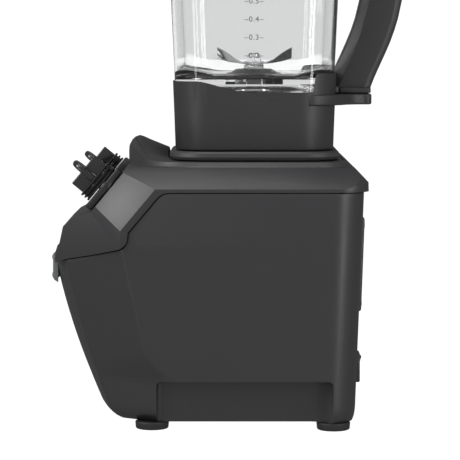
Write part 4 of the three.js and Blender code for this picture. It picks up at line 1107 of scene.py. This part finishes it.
dress(knurled("spacer_turning", 231.6, 233.7), steel_finish, "blades", "steel", "blade_spacer")
dress(knurled("knurled_washer", 235.15, 236.2), steel_finish, "blades", "steel")
nut = stack("nut_turning", [[5.2, 237.6], [5.5, 237.7], [5.5, 240.7], [5.1, 241.2], [4.5, 241.3]], sides=6)
combine(nut, stack("nut_washer", [[6.6, 237.0], [6.8, 237.2], [6.8, 237.6], [6.6, 237.8]], sides=48), "UNION")
combine(nut, stack("nut_dome", [[4.2, 241], [4.2, 242.8], [3.6, 243.5], [2.4, 243.8]], sides=40), "UNION")
cut(nut, stack("bore", [[4.3, 230], [4.3, 241.4]], sides=40))
dress(smooth(nut, 25), steel_finish, "blades", "steel", "blade_nut")
low, high = span("blade_shaft")
shaft = stack("shaft_turning", [[4, low[2]], [4, 238], [3.7, 241.1]], sides=48)
dress(smooth(shaft), steel_finish, "blades", "steel", "blade_shaft")
low, high = span("jar_coupling")
coupling = stack("coupling_turning", [[12.3, 192.9], [13, 193.5], [13, high[2] - 0.6], [12.4, high[2]]],
    sides=64)
combine(coupling, stack("hexagon", [[8.4, low[2]], [9, low[2] + 0.8], [9, 193.4]], sides=6), "UNION")
cut(coupling, stack("bore", [[4.3, 191.7], [4.3, 210]], sides=40))
dress(smooth(coupling, 25), steel_finish, "blades", "steel", "jar_coupling")
print("blade unit done")

# %% [markdown]
# ## Lid
# A soft rubber lid grips the rim, with a gasket round its skirt and a clear filler cap in the middle.

# %% Lid, gasket and cap
rim = jar_half(428) + 3
inner = jar_half(415) - 4.6
lid = stack("lid_moulding", [[inner - 3, 415], [inner - 0.6, 415], [inner, 415.8], [inner, 428.3],
    [rim + 0.4, 428.3], [rim + 1, 429], [rim + 1, 437], [rim + 0.4, 439], [rim - 1.2, 441], [rim - 4, 442],
    [40, 442], [38, 440.6], [34, 440.4], [32.4, 441.6], [31.6, 442]], corner=24)
cut(lid, stack("hollow", [[inner - 3, 410], [inner - 3, 437], [inner - 4, 438]], corner=19))
cut(lid, stack("cap_hole", [[29.6, 400], [29.6, 470]], sides=96))
dress(smooth(lid, 28), lid_finish, "lid", "lid_rubber", "jar_lid")
low, high = span("lid_gasket")
outer = (high[0] - low[0]) / 2
gasket = stack("gasket_ring", [[inner + 0.3, low[2]], [outer - 0.8, low[2]], [outer, low[2] + 1.2],
    [outer - 1, low[2] + 2], [outer, low[2] + 2.8], [outer - 0.8, high[2]], [inner + 0.3, high[2]]],
    corner=20, hole=True)
dress(smooth(gasket), lid_finish, "lid", "lid_rubber", "lid_gasket")
cap = stack("cap_moulding", [[26.4, 434], [28.4, 434], [29, 434.6], [29, 442.3], [31.4, 442.3], [32, 442.9],
    [32, 446.4], [31.6, 447.2], [28.6, 456], [27.8, 456.8], [26.6, 457], [6, 456.6], [4, 456.2]], sides=96)
cut(cap, stack("hollow", [[26.4, 430], [26.2, 450.6], [25, 452]], sides=96))
dress(smooth(cap, 28), cap_finish, "cap", "clear_plastic", "filler_cap")
print("lid done")

# %% [markdown]
# ## Inside the base
# The motor and the electrical parts are hidden, but they show when the base is opened or cut. Turned
# parts are stacked again with more sides and small chamfers; plain pieces keep their frame shape and
# get their edges softened.

# %% Motor and electrical parts
def turned_again(node, finish, body, slot, inner, chamfer=0.5):
    low, high = span(node)
    outer = (high[0] - low[0]) / 2
    piece = stack(node + "_turning", [[inner, low[2]], [outer - chamfer, low[2]], [outer, low[2] + chamfer],
        [outer, high[2] - chamfer], [outer - chamfer, high[2]], [inner, high[2]]], hole=True)
    return dress(smooth(piece), finish, body, slot, node)


def edged(node, finish, body, slot, width=0.4):
    piece = from_node(node)
    soften(piece, width, 2, angle=40)
    return dress(piece, finish, body, slot, node)


turned_again("stator_core", lamination_finish, "base", "laminations", 30)
turned_again("rotor_core", lamination_finish, "motor", "laminations", 5.3)
turned_again("commutator", copper_finish, "motor", "copper", 5.3, 0.8)
turned_again("upper_bearing", steel_finish, "base", "steel", 5.3)
turned_again("lower_bearing", steel_finish, "base", "steel", 5.3)
turned_again("blade_bearing", steel_finish, "jar", "steel", 4.3, 0.3)
turned_again("blade_seal", foot_finish, "jar", "foot_rubber", 4.3, 0.3)
low, high = span("motor_shaft")
spindle = stack("motor_spindle", [[4.4, low[2]], [5, low[2] + 0.6], [5, high[2] - 0.8], [4.2, high[2]]],
    sides=56)
dress(smooth(spindle), steel_finish, "motor", "steel", "motor_shaft")
low, high = span("rotor_winding")
winding = stack("rotor_coils", [[7, low[2]], [23, low[2]], [25, low[2] + 1.4], [24.4, low[2] + 3.4],
    [21, high[2] - 0.8], [19, high[2]], [7, high[2]]], hole=True)
notched(winding, 12, 25.2, 1.2, low[2], high[2], 12)
dress(smooth(winding), copper_finish, "motor", "copper", "rotor_winding")
for node in ("brush_left", "brush_right"):
    edged(node, carbon_finish, "base", "carbon")
edged("motor_bracket", cast_finish, "base", "bracket_metal", 0.6)
edged("motor_cradle", black_finish, "base", "black_plastic", 0.5)
edged("cooling_fan", black_finish, "motor", "black_plastic", 0.25)
for node in ("paddle_switch", "jar_sensor_switch"):
    edged(node, black_finish, "base", "black_plastic")

# %% Control board
board = from_node("control_board")
soften(board, 0.3, 2)
dress(board, board_finish, "base", "board", "control_board")
left = [name for name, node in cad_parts.items() if not node.hide_render]
print("frame nodes without a finished piece:", left)
